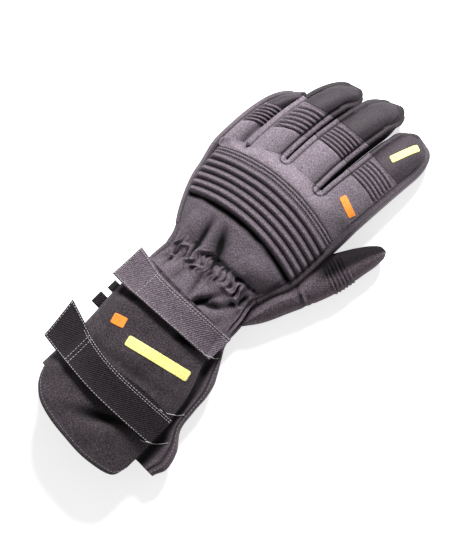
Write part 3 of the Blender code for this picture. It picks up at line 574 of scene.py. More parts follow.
def meltonCloth(name, look):
    # Aramid cloth, woven from spun melange yarn: matt, flecked grey and violet, with painted shade in its
    # creases.
    # Yarn is 0.5 mm; flecks and threads are drawn about 1 mm across, as fine as the render shows.
    material, tree, surface = startMaterial(name, {
        "Roughness": look["roughness"], "Sheen Weight": look["sheen"], "Sheen Roughness": 0.5,
        "IOR": 1.5, "Specular IOR Level": look["specular"],
    })
    where = addNode(tree, "ShaderNodeTexCoord").outputs["Object"]
    fleck = noise(tree, where, look["fleck"], 3.0, 0.7)
    dye(tree, surface, look, fleck, noise(tree, where, 0.018, 3.0, 0.6), (0.34, 0.50, 0.66), 0.55)
    weave = addNode(tree, "ShaderNodeUVMap", uv_map="weave").outputs["UV"]
    twill = (0, 0, math.radians(look["twill"]))
    turned = addNode(tree, "ShaderNodeMapping", {"Vector": weave, "Rotation": twill}).outputs["Vector"]
    threads = addNode(tree, "ShaderNodeTexWave", {
        "Vector": turned, "Scale": 0.314 / look["thread"],
        "Distortion": 1.2, "Detail": 2.0, "Detail Scale": 2.0,
    }, wave_type="BANDS", bands_direction="X").outputs["Fac"]
    emboss(tree, surface, layered(tree, threads, look["threadShare"], fleck), look["bump"], 0.0006)
    return material


def napLeather(name, look):
    # Goat leather, dyed charcoal and lightly finished: pebbled grain of about 1 mm with a low shine.
    values = {"Roughness": look["roughness"], "Specular IOR Level": look["specular"]}
    material, tree, surface = startMaterial(name, values)
    where = addNode(tree, "ShaderNodeTexCoord").outputs["Object"]
    grain = {"Vector": where, "Scale": 1 / 0.0011, "Randomness": 0.9}
    pebble = addNode(tree, "ShaderNodeTexVoronoi", grain, feature="DISTANCE_TO_EDGE").outputs["Distance"]
    fleck = noise(tree, where, look["fleck"], 4.0, 0.65)
    dye(tree, surface, look, fleck, noise(tree, where, 0.022, 3.0), (0.32, 0.50, 0.70), 0.5)
    emboss(tree, surface, layered(tree, pebble, 0.6, fleck), look["bump"], 0.0005)
    return material


def spunThread(name, colourText, roughness=0.7):
    # Spun aramid sewing thread: matt, with a fine twist of light and dark.
    material, tree, surface = startMaterial(name, {"Roughness": roughness})
    where = addNode(tree, "ShaderNodeTexCoord").outputs["Object"]
    light = hexColour(colourText)
    dark = (*[0.55 * c for c in light[:3]], 1)
    tree.links.new(blend(tree, noise(tree, where, 0.0008, 2.0), dark, light), surface.inputs["Base Color"])
    return material


def screenPrint(name, colourText):
    # Screen printed ink on cloth: a thin opaque film, a little worn over the threads.
    material, tree, surface = startMaterial(name, {"Roughness": 0.6})
    where = addNode(tree, "ShaderNodeTexCoord").outputs["Object"]
    worn = noise(tree, where, 0.0012, 3.0)
    light = hexColour(colourText)
    dark = (*[0.62 * c for c in light[:3]], 1)
    tone = addNode(tree, "ShaderNodeValToRGB", {"Fac": worn})
    setRamp(tone, ((0.34, dark), (0.46, light)))
    tree.links.new(tone.outputs["Color"], surface.inputs["Base Color"])
    emboss(tree, surface, worn, 0.3, 0.0003)
    return material


# crease is the colour that the painted shade attribute darkens each surface towards
shellLook = {
    "base": "#8b8289", "light": "#b0a6ae", "dark": "#60585f", "cool": "#7c7786", "warm": "#857c7e",
    "crease": "#0c0a0c", "fleck": 0.0009, "thread": 0.0011, "threadShare": 0.35, "twill": 45,
    "bump": 0.55, "roughness": 0.88, "sheen": 0.04, "specular": 0.12,
}
paddedLook = {**shellLook, "base": "#776e75", "light": "#9e949c", "dark": "#4b444a"}
# the shell cloth darkened with painted shade, for the wrist, where the light falls off under the knuckle pad
shadedWristLook = {**shellLook, "base": "#6a6268", "light": "#8a8188", "dark": "#464046"}
cuffLook = {
    **shellLook, "base": "#464044", "light": "#6a6268", "dark": "#242023",
    "cool": "#787380", "warm": "#807875", "thread": 0.0009, "bump": 0.35,
}
gatherLook = {**shellLook, "base": "#70676d", "light": "#938990", "dark": "#464045"}
gussetLook = {**cuffLook, "base": "#5d555b", "light": "#787076", "dark": "#3a3438"}
lightStrapLook = {
    **shellLook, "base": "#6d646b", "light": "#968c94", "dark": "#413a40",
    "threadShare": 1.1, "thread": 0.0016, "bump": 0.8, "twill": 30,
}
darkStrapLook = {**lightStrapLook, "base": "#2c272a", "light": "#423c40", "dark": "#181517"}
liningLook = {**shellLook, "base": "#3b3634", "light": "#55504c", "dark": "#262221", "bump": 0.3}
tipLook = {
    "base": "#3f383e", "light": "#564d54", "dark": "#282327", "cool": "#7a7480", "warm": "#807779",
    "crease": "#0b090b", "fleck": 0.0010, "bump": 0.35, "roughness": 0.62, "specular": 0.25,
}
sideLook = {**tipLook, "base": "#756c73", "light": "#92888f", "dark": "#4c454b", "roughness": 0.7}
thumbLook = {
    **tipLook, "base": "#5f555b", "light": "#8a8087", "dark": "#352f33",
    "roughness": 0.8, "specular": 0.08,
}
palmLook = {**tipLook, "base": "#3d3739", "light": "#575052", "dark": "#272324", "roughness": 0.66}

finishes = {
    "shell": meltonCloth("aramidShellCloth", shellLook),
    "padded": meltonCloth("quiltedAramidCloth", paddedLook),
    "wrist": meltonCloth("shadedWristAramidCloth", shadedWristLook),
    "gather": meltonCloth("gatheredAramidCloth", gatherLook),
    "gusset": meltonCloth("gussetCloth", gussetLook),
    "cuff": meltonCloth("darkCuffCloth", cuffLook),
    "lightStrap": meltonCloth("lightTwillStrap", lightStrapLook),
    "darkStrap": meltonCloth("darkTwillStrap", darkStrapLook),
    "lining": meltonCloth("brushedLining", liningLook),
    "tip": napLeather("fingertipLeather", tipLook),
    "side": napLeather("sideWallLeather", sideLook),
    "thumb": napLeather("thumbLeather", thumbLook),
    "palm": napLeather("palmLeather", palmLook),
    "paleThread": spunThread("paleGreyThread", "#bcb6ba"),
    "greyThread": spunThread("midGreyThread", "#8f888e"),
    "label": spunThread("blackSatinLabel", "#1d1b1c", 0.45),
    "yellow": screenPrint("paleYellowPrint", "#f2ea8c"),
    "orange": screenPrint("orangePrint", "#ee8a2c"),
}
print("materials made:", len(finishes))


stitching = {
    "seam": {"Spacing": 0.0030, "Length": 0.0022, "Thickness": 0.00042},
    "strap": {"Spacing": 0.0027, "Length": 0.0021, "Thickness": 0.00055},
    "piping": {"Spacing": 0.0021, "Length": 0.0013, "Thickness": 0.0005},
    "loose": {"Spacing": 0.0007, "Length": 0.0013, "Thickness": 0.0008},
}


def stitchTree(name, material):
    # one thread loop at each step along the curve, laid along it
    tree = bpy.data.node_groups.new(name, "GeometryNodeTree")
    tree.interface.new_socket("Geometry", in_out="INPUT", socket_type="NodeSocketGeometry")
    for key in ("Spacing", "Length", "Thickness"):
        tree.interface.new_socket(key, in_out="INPUT", socket_type="NodeSocketFloat")
    tree.interface.new_socket("Seed", in_out="INPUT", socket_type="NodeSocketInt")
    tree.interface.new_socket("Geometry", in_out="OUTPUT", socket_type="NodeSocketGeometry")
    given = addNode(tree, "NodeGroupInput").outputs
    path = {"Curve": given["Geometry"], "Length": given["Spacing"]}
    places = addNode(tree, "GeometryNodeCurveToPoints", path, mode="LENGTH").outputs
    ball = addNode(tree, "GeometryNodeMeshUVSphere", {"Segments": 8, "Rings": 4, "Radius": 0.5})
    size = {"X": given["Thickness"], "Y": given["Thickness"], "Z": given["Length"]}
    size = addNode(tree, "ShaderNodeCombineXYZ", size).outputs["Vector"]
    thread = addNode(tree, "GeometryNodeTransform", {"Geometry": ball.outputs["Mesh"], "Scale": size})
    spread = {"Min": (-0.09, -0.09, -0.09), "Max": (0.09, 0.09, 0.09), "Seed": given["Seed"]}
    vary = addNode(tree, "FunctionNodeRandomValue", spread, data_type="FLOAT_VECTOR").outputs["Value"]
    thread = thread.outputs["Geometry"]
    laid = {"Points": places["Points"], "Instance": thread, "Rotation": places["Rotation"]}
    laid = addNode(tree, "GeometryNodeInstanceOnPoints", laid).outputs["Instances"]
    turned = addNode(tree, "GeometryNodeRotateInstances", {"Instances": laid, "Rotation": vary})
    real = addNode(tree, "GeometryNodeRealizeInstances", {"Geometry": turned.outputs["Instances"]})
    dyed = {"Geometry": real.outputs["Geometry"], "Material": material}
    dyed = addNode(tree, "GeometryNodeSetMaterial", dyed).outputs["Geometry"]
    addNode(tree, "NodeGroupOutput", {"Geometry": dyed})
    return tree


stitchTrees = {key: stitchTree("stitches_" + key, finishes[key]) for key in ("paleThread", "greyThread")}


def stitch(name, lines, thread, kind):
    curve = bpy.data.curves.new(name, "CURVE")
    curve.dimensions = "3D"
    for line in lines:
        spline = curve.splines.new("POLY")
        spline.points.add(len(line) - 1)
        at = np.concatenate([line + waist, np.ones((len(line), 1))], axis=1)
        spline.points.foreach_set("co", at.astype(np.float32).ravel())
    guide = newObject(name + "_line", curve)
    modifier = guide.modifiers.new("stitches", "NODES")
    modifier.node_group = stitchTrees[thread]
    sizes = {**stitching[kind], "Seed": 3}
    for item in modifier.node_group.interface.items_tree:
        if item.in_out == "INPUT" and item.name in sizes:
            modifier[item.identifier] = sizes[item.name]
    graph = bpy.context.evaluated_depsgraph_get()
    mesh = bpy.data.meshes.new_from_object(guide.evaluated_get(graph), depsgraph=graph)
    bpy.data.objects.remove(guide)
    mesh.name = name
    mesh.shade_smooth()
    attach(newObject(name, mesh), "root")


seamRoll = {
    "band": 0.0040,  # from the finger's edge to the groove beside it
    "roll": 0.0009,
    "groove": 0.0012,
    "grooveWidth": 0.0007,
    "edgeFall": 0.0007,
    "edgeWidth": 0.0009,
}
fingerRibs = {"count": 6, "rise": 0.0019, "arch": 0.13, "sink": 0.0007}


# Places along a finger's seam, about 0.4 mm apart
seamShares = np.concatenate([steps(0, 0.7, 150), mix(0.7, 1, np.sin(np.radians(steps(4, 90, 40))))])


def seamLine(i):
    # a fork and the two seams that run from it
    up = wideTop(fingers[i], 1.0, seamShares)[::-1]
    return np.concatenate([up, forkArc(i, wideTop, 24), wideTop(fingers[i + 1], -1.0, seamShares)])


def outerLine(side):
    f = fingers[-1] if side > 0 else fingers[0]
    fork = fingerTop(f, float(side), 0.0)
    y = steps(0.015, fork[1], 200)
    s = bodySection(y)
    edge = s["right"] if side > 0 else s["left"]
    return np.concatenate([place(edge, y, s["upper"]), fingerTop(f, float(side), seamShares)])


def treeOf(lines):
    points = np.concatenate(lines)
    tree = kdtree.KDTree(len(points))
    for k, p in enumerate(points):
        tree.insert((p[0], p[1], 0), k)
    tree.balance()
    return tree


def distanceTo(tree, rows):
    flat = rows.reshape(-1, 3)
    found = np.array([tree.find((p[0], p[1], 0))[2] for p in flat])
    return found.reshape(rows.shape[:2])


openForks = treeOf([seamLine(1), seamLine(2)])
closedFork = treeOf([seamLine(0)])
outerSeams = treeOf([outerLine(-1), outerLine(1)])


def seamRelief(rows):
    # rolled bands beside the open forks, and pulled-in edges along the other seams
    s = seamRoll
    fork = distanceTo(openForks, rows)
    other = np.minimum(distanceTo(closedFork, rows), distanceTo(outerSeams, rows))
    half = s["band"] / 2
    roll = s["roll"] * np.sqrt(np.maximum(0, 1 - ((fork - half) / half) ** 2))
    grooveAt = s["band"] + 0.0004
    groove = s["groove"] * bump(fork, grooveAt, s["grooveWidth"])
    fall = s["edgeFall"] * bump(other, 0, s["edgeWidth"])
    shade = 0.85 * bump(fork, grooveAt, 0.0006) + 0.5 * bump(other, 0, 0.0006)
    return roll - groove - fall, np.clip(shade, 0, 1), fork, other


def ribProfile(at):
    # one padded roll from groove (0) to groove (1)
    wave = 0.5 - 0.5 * np.cos(2 * math.pi * at)
    arch = np.sqrt(np.maximum(0, 1 - (2 * at - 1) ** 2))
    return 0.45 * wave + 0.55 * arch


def ribField(at, count):
    # height of a field of ribs and depth of the grooves between them, at places from 0 to count
    inside = (at > 0) & (at < count)
    profile = ribProfile(at % 1.0)
    return np.where(inside, profile, 0), np.where(inside, 1 - profile, 0)


def softness(rows, seed):
    return 0.00030 * cloud(rows, 0.022, seed) + 0.00014 * cloud(rows, 0.008, seed + 1)


def fingerSurface(f, across, along):
    base = wideTop(f, across, along)
    relief, shade, fork, other = seamRelief(base)
    keep = 1 - smooth(0.80, 0.95, along)
    relief, shade = relief * keep, shade * keep
    edge = np.minimum(fork - seamRoll["band"], other - 0.0008)
    clear = smooth(0.0002, 0.0024, edge)
    count = fingerRibs["count"]
    share = (along - f["ribsFrom"]) / (f["ribsTo"] - f["ribsFrom"]) + fingerRibs["arch"] * across**2
    ribs, grooves = ribField(share * count, count)
    field = smooth(-0.5, 0.1, share * count) * (1 - smooth(count - 0.1, count + 0.5, share * count))
    sunk = fingerRibs["sink"] * field * clear
    height = relief + fingerRibs["rise"] * (ribs * clear) - sunk + softness(base, 5)
    return base, height, shade + 0.95 * clear * grooves**1.4


# How much darker each fingertip's cap is
capShade = {"little": 0.10, "ring": 0.22, "middle": 0.20, "index": 0.0}


def makeFingers():
    backs = []
    gap, past = 0.0045, 0.012  # between a finger's parts and past its ribs, as shares of its length
    for f in fingers:
        across = steps(-1, 1, fingerColumnsAcross)
        low = steps(0, f["ribsFrom"] - gap, 70)
        ribs = steps(f["ribsFrom"] + gap * 0.2, f["ribsTo"] + past, 110)
        tip = tipShares(f["ribsTo"] + past + gap, 40, 26)
        parts = []
        for along in (low, ribs, tip):
            q, t = np.meshgrid(across, along)
            base, height, shade = fingerSurface(f, q, t)
            parts.append((raised(base, height), shade))
        backs.append(parts[0])
        node = "ribs_" + f["name"]
        rows, shade = parts[1]
        piece = cloth(node + "_pad", [rows], "padded", walls["panel"], shades=[shade])
        stands(piece, "quilted", node)
        node = "fingertip_" + f["name"]
        rows, shade = parts[2]
        piece = cloth(node + "_cap", [rows], "tip", walls["panel"], shades=[shade + capShade[f["name"]]])
        stands(piece, "leather", node)
    return backs


welt = {"end": 0.985, "width": 0.0075, "start": 0.0030, "rise": 0.0026, "sink": 0.0004}


def makeWelt():
    # the rolled seam that closes the slot between little and ring finger
    little, ring = fingers[0], fingers[1]
    low = fingerTop(little, 1.0, steps(0, welt["end"], 130))
    root, tip = fingerEnds(ring, -1.0)
    high = fingerTop(ring, -1.0, np.clip((low[:, 1] - root) / (tip - root), 0, 1))
    high[:, 1] = low[:, 1]
    room = np.linalg.norm(low - high, axis=1, keepdims=True)
    low = high + (low - high) * np.minimum(1, welt["width"] / room)
    share = steps(-0.22, 1.16, 22)[None, :, None]
    start = np.sqrt(smooth(0, welt["start"], low[:, 1] - low[0, 1]))[:, None, None]
    middle = (low + high)[:, None] / 2
    rows = mix(middle, mix(low[:, None], high[:, None], share), 0.25 + 0.75 * start)
    up = place(-(high - low)[:, 2], 0, (high - low)[:, 0])
    up = up / np.linalg.norm(up, axis=-1, keepdims=True)
    arch = np.sin(math.pi * np.clip(share[..., 0], -0.2, 1.2)) * start[..., 0]
    rise = welt["rise"] * arch - welt["sink"]
    rows = rows + up[:, None] * rise[..., None]
    shade = np.abs(share[..., 0] - 0.47) * 3.4 - 1.25
    piece = cloth("little_ring_welt", [rows], "shell", walls["welt"], lined=False, shades=[shade])
    stands(piece, "shell")


knuckles = {
    "top": 0.102,  # on the pad's middle line
    "bottom": 0.0555,
    "middle": 0.005,
    "arch": 3.3,  # drop of the arch, per metre of distance squared
    "ribs": 6,
    "field": 0.868,  # share of the pad that the ribs fill, below the piping
    "rise": 0.0034,
    "piping": 0.0015,
    "sink": 0.0006,
}


def knuckleLine(x, middleY):
    return middleY - knuckles["arch"] * (x - knuckles["middle"]) ** 2


def seamX(side, middleY):
    x = np.full(np.shape(middleY), hand["right"] if side > 0 else -hand["left"])
    for _ in range(8):  # settles where the arched line meets the seam
        s = bodySection(knuckleLine(x, middleY))
        x = s["right"] if side > 0 else s["left"]
    return x


def archedRows(middleY, shares):
    left, right = seamX(-1, middleY), seamX(1, middleY)
    x = mix(left[:, None], right[:, None], shares[None, :])
    return bodyTop(x, knuckleLine(x, middleY[:, None]))


# Soft dents in the back of the hand, from the waist, in millimetres
handDents = (
    ("x", "y", "heading", "length", "width", "depth"),
    (-34, 104, 70, 16, 5, 0.5),
    (-8, 110, 60, 12, 6, 0.7),
    (14, 108, 110, 14, 5, 0.6),
)


def makeHandBack(backs):
    arc = 17  # columns round each fork
    forks = forkRow(wideTop, fingerColumnsAcross, arc)
    shares = (forks[:, 0] - forks[0, 0]) / (forks[-1, 0] - forks[0, 0])
    edge = archedRows(np.array([knuckles["top"] + hand["gap"]]), shares)[0]
    s = steps(0, 1, 72)[:, None]
    at = mix(edge[None], forks[None], s[..., None])
    at[..., 0] = mix(edge[None, :, 0], forks[None, :, 0], 1 - (1 - s) ** 2)
    plain = bodyTop(at[..., 0], at[..., 1])[..., 2]
    at[..., 2] = mix(plain, at[..., 2], smooth(0, 1, s))
    relief, shade, _, _ = seamRelief(at)
    low = 0.0005 * bump(s * 0.035, 0, 0.002)  # drawn down along the piping
    height = relief - low + softness(at, 5) - dents(handDents, at)
    body = at + place(0, 0, height)
    grids, shades = [body], [shade]
    for k, (rows, tone) in enumerate(backs):
        start = k * (fingerColumnsAcross + 1 + arc)
        rows = rows.copy()
        rows[0] = body[-1, start : start + fingerColumnsAcross + 1]
        grids.append(rows)
        shades.append(tone)
    # painted shade: the back of the hand darkens towards the thumb, where less light falls on it
    shades = [tone + 0.32 * smooth(0.005, 0.040, rows[..., 0]) for rows, tone in zip(grids, shades)]
    stands(cloth("hand_back_panel", grids, "shell", walls["panel"], shades=shades), "shell", "hand_back")


def knuckleSurface(middleY, shares):
    base = archedRows(middleY, shares)
    down = ((knuckles["top"] - middleY) / (knuckles["top"] - knuckles["bottom"]))[:, None]
    down = np.broadcast_to(down, base.shape[:2])
    wobble = 0.006 * cloud(base, 0.016, 11)
    down = down + wobble * smooth(0, 0.1, down) * (1 - smooth(0.93, 1, down))
    pipes = 1 - knuckles["field"]
    inPipes = down < pipes
    pipePlace = np.clip(down / pipes, 0, 0.9999) * 2
    rib = ribProfile(np.clip((down - pipes) / knuckles["field"], 0, 0.9999) * knuckles["ribs"] % 1.0)
    share = shares[None, :]
    width = base[:, -1:, 0] - base[:, :1, 0]
    side = np.minimum(share, 1 - share) * width
    ends = np.sqrt(smooth(0.0002, 0.0042, side))
    pipe = knuckles["piping"] * np.abs(np.sin(math.pi * pipePlace)) ** 0.7
    lively = 1 + 0.10 * cloud(base, 0.011, 12)
    height = np.where(inPipes, pipe, knuckles["rise"] * rib * lively) * ends
    groove = np.where(inPipes, np.abs(np.cos(math.pi * pipePlace)) ** 6, (1 - rib) ** 1.3)
    last = smooth(0.955, 1.0, down)
    height = height - 0.0010 * last * last
    return base, height + softness(base, 13) * 0.7, groove + 0.5 * bump(side, 0, 0.0007)


def makeKnucklePad():
    middleY = steps(knuckles["bottom"] - 0.0006, knuckles["top"], 190)
    shares = steps(0, 1, 150)
    base, height, shade = knuckleSurface(middleY, shares)
    piece = cloth("knuckle_pad_quilt", [raised(base, height)], "padded", walls["panel"], shades=[shade])
    stands(piece, "quilted", "knuckle_pad")
    lines = []
    for down in (0.064, 0.130):  # beside the two cords of the piping
        middleY = np.array([mix(knuckles["top"], knuckles["bottom"], down)])
        base, height, _ = knuckleSurface(middleY, steps(0.01, 0.99, 240))
        lines.append(base[0] + place(0, 0, height[0] + 0.0003))
    stitch("knuckle_piping_stitches", lines, "greyThread", "piping")


wrist = {
    "gatherTop": 0.019,
    "gatherBottom": 0.018,
    "pucker": 0.0052,  # height of the gathered ridges
    "pitch": 0.0040,
    "reach": 0.0095,  # how far the ridges run to either side of the elastic
    "underRidges": 44,  # plain ridges round the sides and palm
    "underRise": 0.0014,
    "dive": 0.0030,  # under the knuckle pad, first slowly and then steeply
    "plunge": 0.0034,
}
# Folds and puffs, from the waist, in millimetres; a puff is a dent of negative depth
wristDents = (
    ("x", "y", "heading", "length", "width", "depth"),
    (-24, 23, 98, 16, 4.5, 5.2),
    (-7, 27, 120, 20, 6.0, 8.2),
    (-1, 17, 10, 9, 4.0, 3.0),
    (24, 21, 8, 20, 3.0, 3.2),
    (15, -12, 66, 11, 3.0, 6.0),
    (21, -10, 30, 9, 3.4, 5.0),
    (12, -17, 95, 6, 3.0, 3.0),
    (33, 3, 62, 10, 3.0, 2.6),
    (-31, -4, 72, 14, 3.5, 1.8),
    (-15, -7, 82, 12, 3.5, 2.0),
    (1, -5, 102, 13, 3.5, 2.4),
    (28, 36, 20, 17, 11.0, -4.6),
    (-15, 38, 112, 13, 7.0, -2.2),
    (-37, 25, 98, 13, 6.0, -2.2),
    (-22, -9, 76, 12, 4.0, -1.4),
)


def elasticLine(across):
    # y of the elastic under the back of the wrist
    return 0.0125 + 0.006 * across - 0.007 * across**2


def puckers(at, across):
    # wandering ridges across the elastic, as noise drawn out along the hand
    away = at[..., 1] - elasticLine(across)
    x = at[..., 0] + 0.0018 * cloud(at, 0.007, 22) + 0.0010 * np.sin(away / 0.0022)
    coarse = cloud(place(x / wrist["pitch"], away / 0.012, 0.5), 1.0, 21)
    fine = cloud(place(x / 0.0021, away / 0.005, 0.5), 1.0, 23)
    ridge = (1 - np.minimum(1, np.abs(coarse) / 0.42)) ** 1.3 + 0.25 * fine
    near = bump(away, 0, wrist["reach"]) * (0.85 + 0.3 * cloud(at, 0.013, 24))
    return ridge, np.clip(near, 0, 1)


def gatherHeight(at, across):
    ridge, near = puckers(at, across)
    edge = smooth(0, 0.10, 1 - np.abs(across))
    creases = cloud(place(at[..., 0] / 0.0050, at[..., 1] / 0.020, 1.5), 1.0, 25)
    under = smooth(0.006, -0.004, at[..., 1])
    height = wrist["pucker"] * (ridge - 0.30) * near + 0.0012 * creases * under
    return (height - dents(wristDents, at)) * edge + 1.3 * softness(at, 27)


def makeWristBack():
    shares = steps(0, 1, 210)
    top = archedRows(np.array([knuckles["bottom"] + 0.0012]), shares)[0]
    y = wrist["gatherTop"]
    s = bodySection(y)
    low = bodyTop(mix(s["left"], s["right"], shares), y)
    up = steps(0, 1, 90)[:, None]
    at = mix(low[None], top[None], up[..., None])
    at[..., 2] = bodyTop(at[..., 0], at[..., 1])[..., 2]
    across = np.broadcast_to(2 * shares[None] - 1, at.shape[:2])
    scallop = 0.7 + 0.5 * cloud(at, 0.009, 28)
    tuck = (wrist["dive"] * smooth(0.72, 0.92, up) + wrist["plunge"] * smooth(0.86, 1.0, up)) * scallop
    height = gatherHeight(at, across) - tuck
    shade = 0.7 * np.clip(dents(wristDents, at) / 0.008, 0, 1)
    shade = hollows(height, 9, 0.0016) + shade + 0.9 * smooth(0.84, 0.97, up + 0.04 * scallop)
    shade = shade + 0.28 * smooth(0.55, 0.90, up)
    piece = cloth("wrist_back_panel", [raised(at, height)], "wrist", walls["panel"], shades=[shade])
    stands(piece, "shell", "wrist_back")


def makeGatheredWrist():
    y = steps(wrist["gatherTop"], -wrist["gatherBottom"], 90)[:, None]
    s = bodySection(y)
    q = steps(-1, 1, 210)[None]
    top = bodyTop(mix(s["left"], s["right"], (q + 1) / 2), y)
    down = steps(0, 1, 18)[None, 1:]
    right = bodySide(y, 1, down)
    floorQ = -steps(-1, 1, 60)[None, 1:]
    floor = bodyFloor(floorQ, y)
    left = bodySide(y, -1, 1 - down)
    ring = np.concatenate([top, right, floor, left], axis=1)
    ones = np.ones(right.shape[:2])
    topQ, floorQ = np.broadcast_to(q, top.shape[:2]), np.broadcast_to(floorQ, floor.shape[:2])
    across = np.concatenate([topQ, ones, floorQ, -ones], axis=1)
    # sides and palm take plain puckers by the distance round the loop
    length = np.cumsum(np.linalg.norm(np.diff(ring, axis=1), axis=-1), axis=1)
    length = np.concatenate([np.zeros((len(ring), 1)), length], axis=1)
    turn = 2 * math.pi * length / length[:, -1:] * wrist["underRidges"] + 1.5 * cloud(ring, 0.012, 31)
    span = wrist["gatherTop"] + wrist["gatherBottom"]
    near = np.sin(math.pi * np.clip((y + wrist["gatherBottom"]) / span, 0, 1)) ** 0.8
    under = wrist["underRise"] * np.sin(turn) * near
    column = np.arange(ring.shape[1])
    onTop = (column < top.shape[1]) * smooth(1.0, 0.97, np.abs(across))
    height = mix(under, gatherHeight(ring, across), onTop)
    moved = ring - normalsOf(ring, closed=True) * height[..., None]
    low = ring[..., 2] < 0.004  # lies on the floor, so its ridges rise from there
    moved[..., 2] = np.where(low, ring[..., 2] + 0.0013 + under, moved[..., 2])
    deep = dents(wristDents, ring) / 0.007 * (0.8 + 0.6 * cloud(ring, 0.005, 29))
    deep = np.clip(deep, 0, 1) * onTop
    shade = hollows(height, 8, 0.0012) + 0.8 * deep
    piece = cloth("gathered_wrist_sleeve", [moved], "gather", walls["thin"], flip=True, shades=[shade])
    stands(piece, "shell", "gathered_wrist")


def fingerSide(i, side):
    f = fingers[i]
    along = tipShares(0, 60, 24)
    x, y = fingerPlan(f, float(side), along)
    _, upper, lower, _ = fingerHeights(f, along)
    swell = sideGap(i, side, along)
    if 0 <= i + side < len(fingers):  # neighbouring fingers press against each other
        room, share = roomBeside(i, side, along)
        pressed = np.clip(room / 2 - 0.0001, 0, 0.0070)
        swell = mix(pressed, swell, np.maximum(smooth(0.80, 1.0, share), smooth(0.70, 0.88, along)))
    stations = np.stack([x, y, upper, lower, swell], axis=-1)
    _, upper, lower, floor = fingerHeights(f, 1.0)
    end = []
    middle = (sideGap(i, side, 1.0) + sideGap(i, -side, 1.0)) / 2
    for across in (0.85, 0.7, 0.55, 0.4, 0.25, 0.1, 0.0):
        x, y = fingerPlan(f, side * across, 1.0)
        end.append((x, y, upper, floorHeight(floor, lower, across), mix(middle, stations[-1, 4], across)))
    return np.concatenate([stations, np.array(end)])


def forkStations(i):
    tops, floors = forkArc(i, fingerTop, 9), forkArc(i, fingerFloor, 9)
    bulge = np.full(len(tops), 0.25 * hand["sideBulge"])
    return np.column_stack([tops[:, 0], tops[:, 1], tops[:, 2], floors[:, 2], bulge])


def handSide(side):
    f = fingers[-1] if side > 0 else fingers[0]
    forkX, fork = fingerPlan(f, float(side), 0.0)
    _, forkUpper, forkLower, _ = fingerHeights(f, 0.0)
    s = steps(0, 1, 80)[:-1]
    y = mix(wrist["gatherTop"], fork, s)
    section = bodySection(y)
    x = mix(section["right"] if side > 0 else section["left"], forkX, smooth(0.6, 1.0, s))
    eased = np.maximum(0, 2 * s - 1) ** 2
    upper = mix(section["upper"], forkUpper, eased)
    lower = mix(section["lower"], forkLower, eased)
    return np.stack([x, y, upper, lower, np.full(len(s), hand["sideBulge"])], axis=-1)


def stripRows(stations, fullness):
    # one wall strip, from its tuck under the back's edge to its tuck over the palm's
    x, y, upper, lower, bulge = stations.T
    run = np.stack([np.gradient(x), np.gradient(y)], axis=-1)
    run /= np.linalg.norm(run, axis=-1, keepdims=True)
    out = np.stack([-run[:, 1], run[:, 0]], axis=-1)
    for _ in range(12):  # evens out the turns at the fingertips
        out[1:-1] = (out[:-2] + 2 * out[1:-1] + out[2:]) / 4
    out /= np.linalg.norm(out, axis=-1, keepdims=True)
    down = steps(0, 1, 26)[None]
    swell = bulge[:, None] * (1 - np.abs(2 * down - 1) ** fullness)
    tuck = np.full((len(x), 1), -0.0026)
    swell = np.concatenate([tuck, swell, tuck], axis=1)
    z = mix(upper[:, None] - 0.0004, lower[:, None] + 0.0004, down)
    z = np.concatenate([upper[:, None] - 0.0013, z, lower[:, None] + 0.0013], axis=1)
    down = np.concatenate([[[0.0]], down, [[1.0]]], axis=1)
    return place(x[:, None] + out[:, :1] * swell, y[:, None] + out[:, 1:] * swell, z), down


def makeSides():
    last = len(fingers) - 1
    runsOf = {
        "side_little": (handSide(-1), fingerSide(0, -1)),
        "side_index": (fingerSide(last, 1)[::-1], handSide(1)[::-1]),
    }
    for i in range(last):
        name = "fourchette_" + fingers[i]["name"] + "_" + fingers[i + 1]["name"]
        runsOf[name] = (fingerSide(i, 1)[::-1], forkStations(i), fingerSide(i + 1, -1))
    for name, parts in runsOf.items():
        outer = name.startswith("side")
        rows, down = stripRows(np.concatenate(parts), 3.4 if outer else 2.0)
        shade = 0.7 * smooth(0.07, 0.0, down) + 0.3 * smooth(0.9, 1.0, down)
        if outer:
            tip = rows[..., 1].max()
            shade = shade + 0.45 * smooth(tip - 0.040, tip - 0.012, rows[..., 1])
        else:
            shade = shade + 0.55
        finish = "side" if outer else "tip"
        piece = cloth(name + "_wall", [rows], finish, walls["thin"], flip=True, shades=[shade])
        stands(piece, "leather", name)


def makePalm():
    grids = []
    across, arc = 20, 9
    for f in fingers:
        q, t = np.meshgrid(steps(-1, 1, across), tipShares(0, 36, 14))
        grids.append(fingerFloor(f, q, t))
    forks = forkRow(fingerFloor, across, arc)
    shares = (forks[:, 0] - forks[0, 0]) / (forks[-1, 0] - forks[0, 0])
    s = steps(0, 1, 60)[:, None]
    y = mix(wrist["gatherTop"], forks[None, :, 1], s)
    plain = bodyFloor(2 * shares[None] - 1, y)
    eased = np.maximum(0, 2 * s - 1) ** 2
    x = mix(plain[..., 0], forks[None, :, 0], smooth(0.6, 1.0, s))
    grids.append(place(x, y, mix(plain[..., 2], forks[None, :, 2], eased)))
    stands(cloth("palm_panel", grids, "palm", walls["heavy"], flip=True), "leather", "palm")


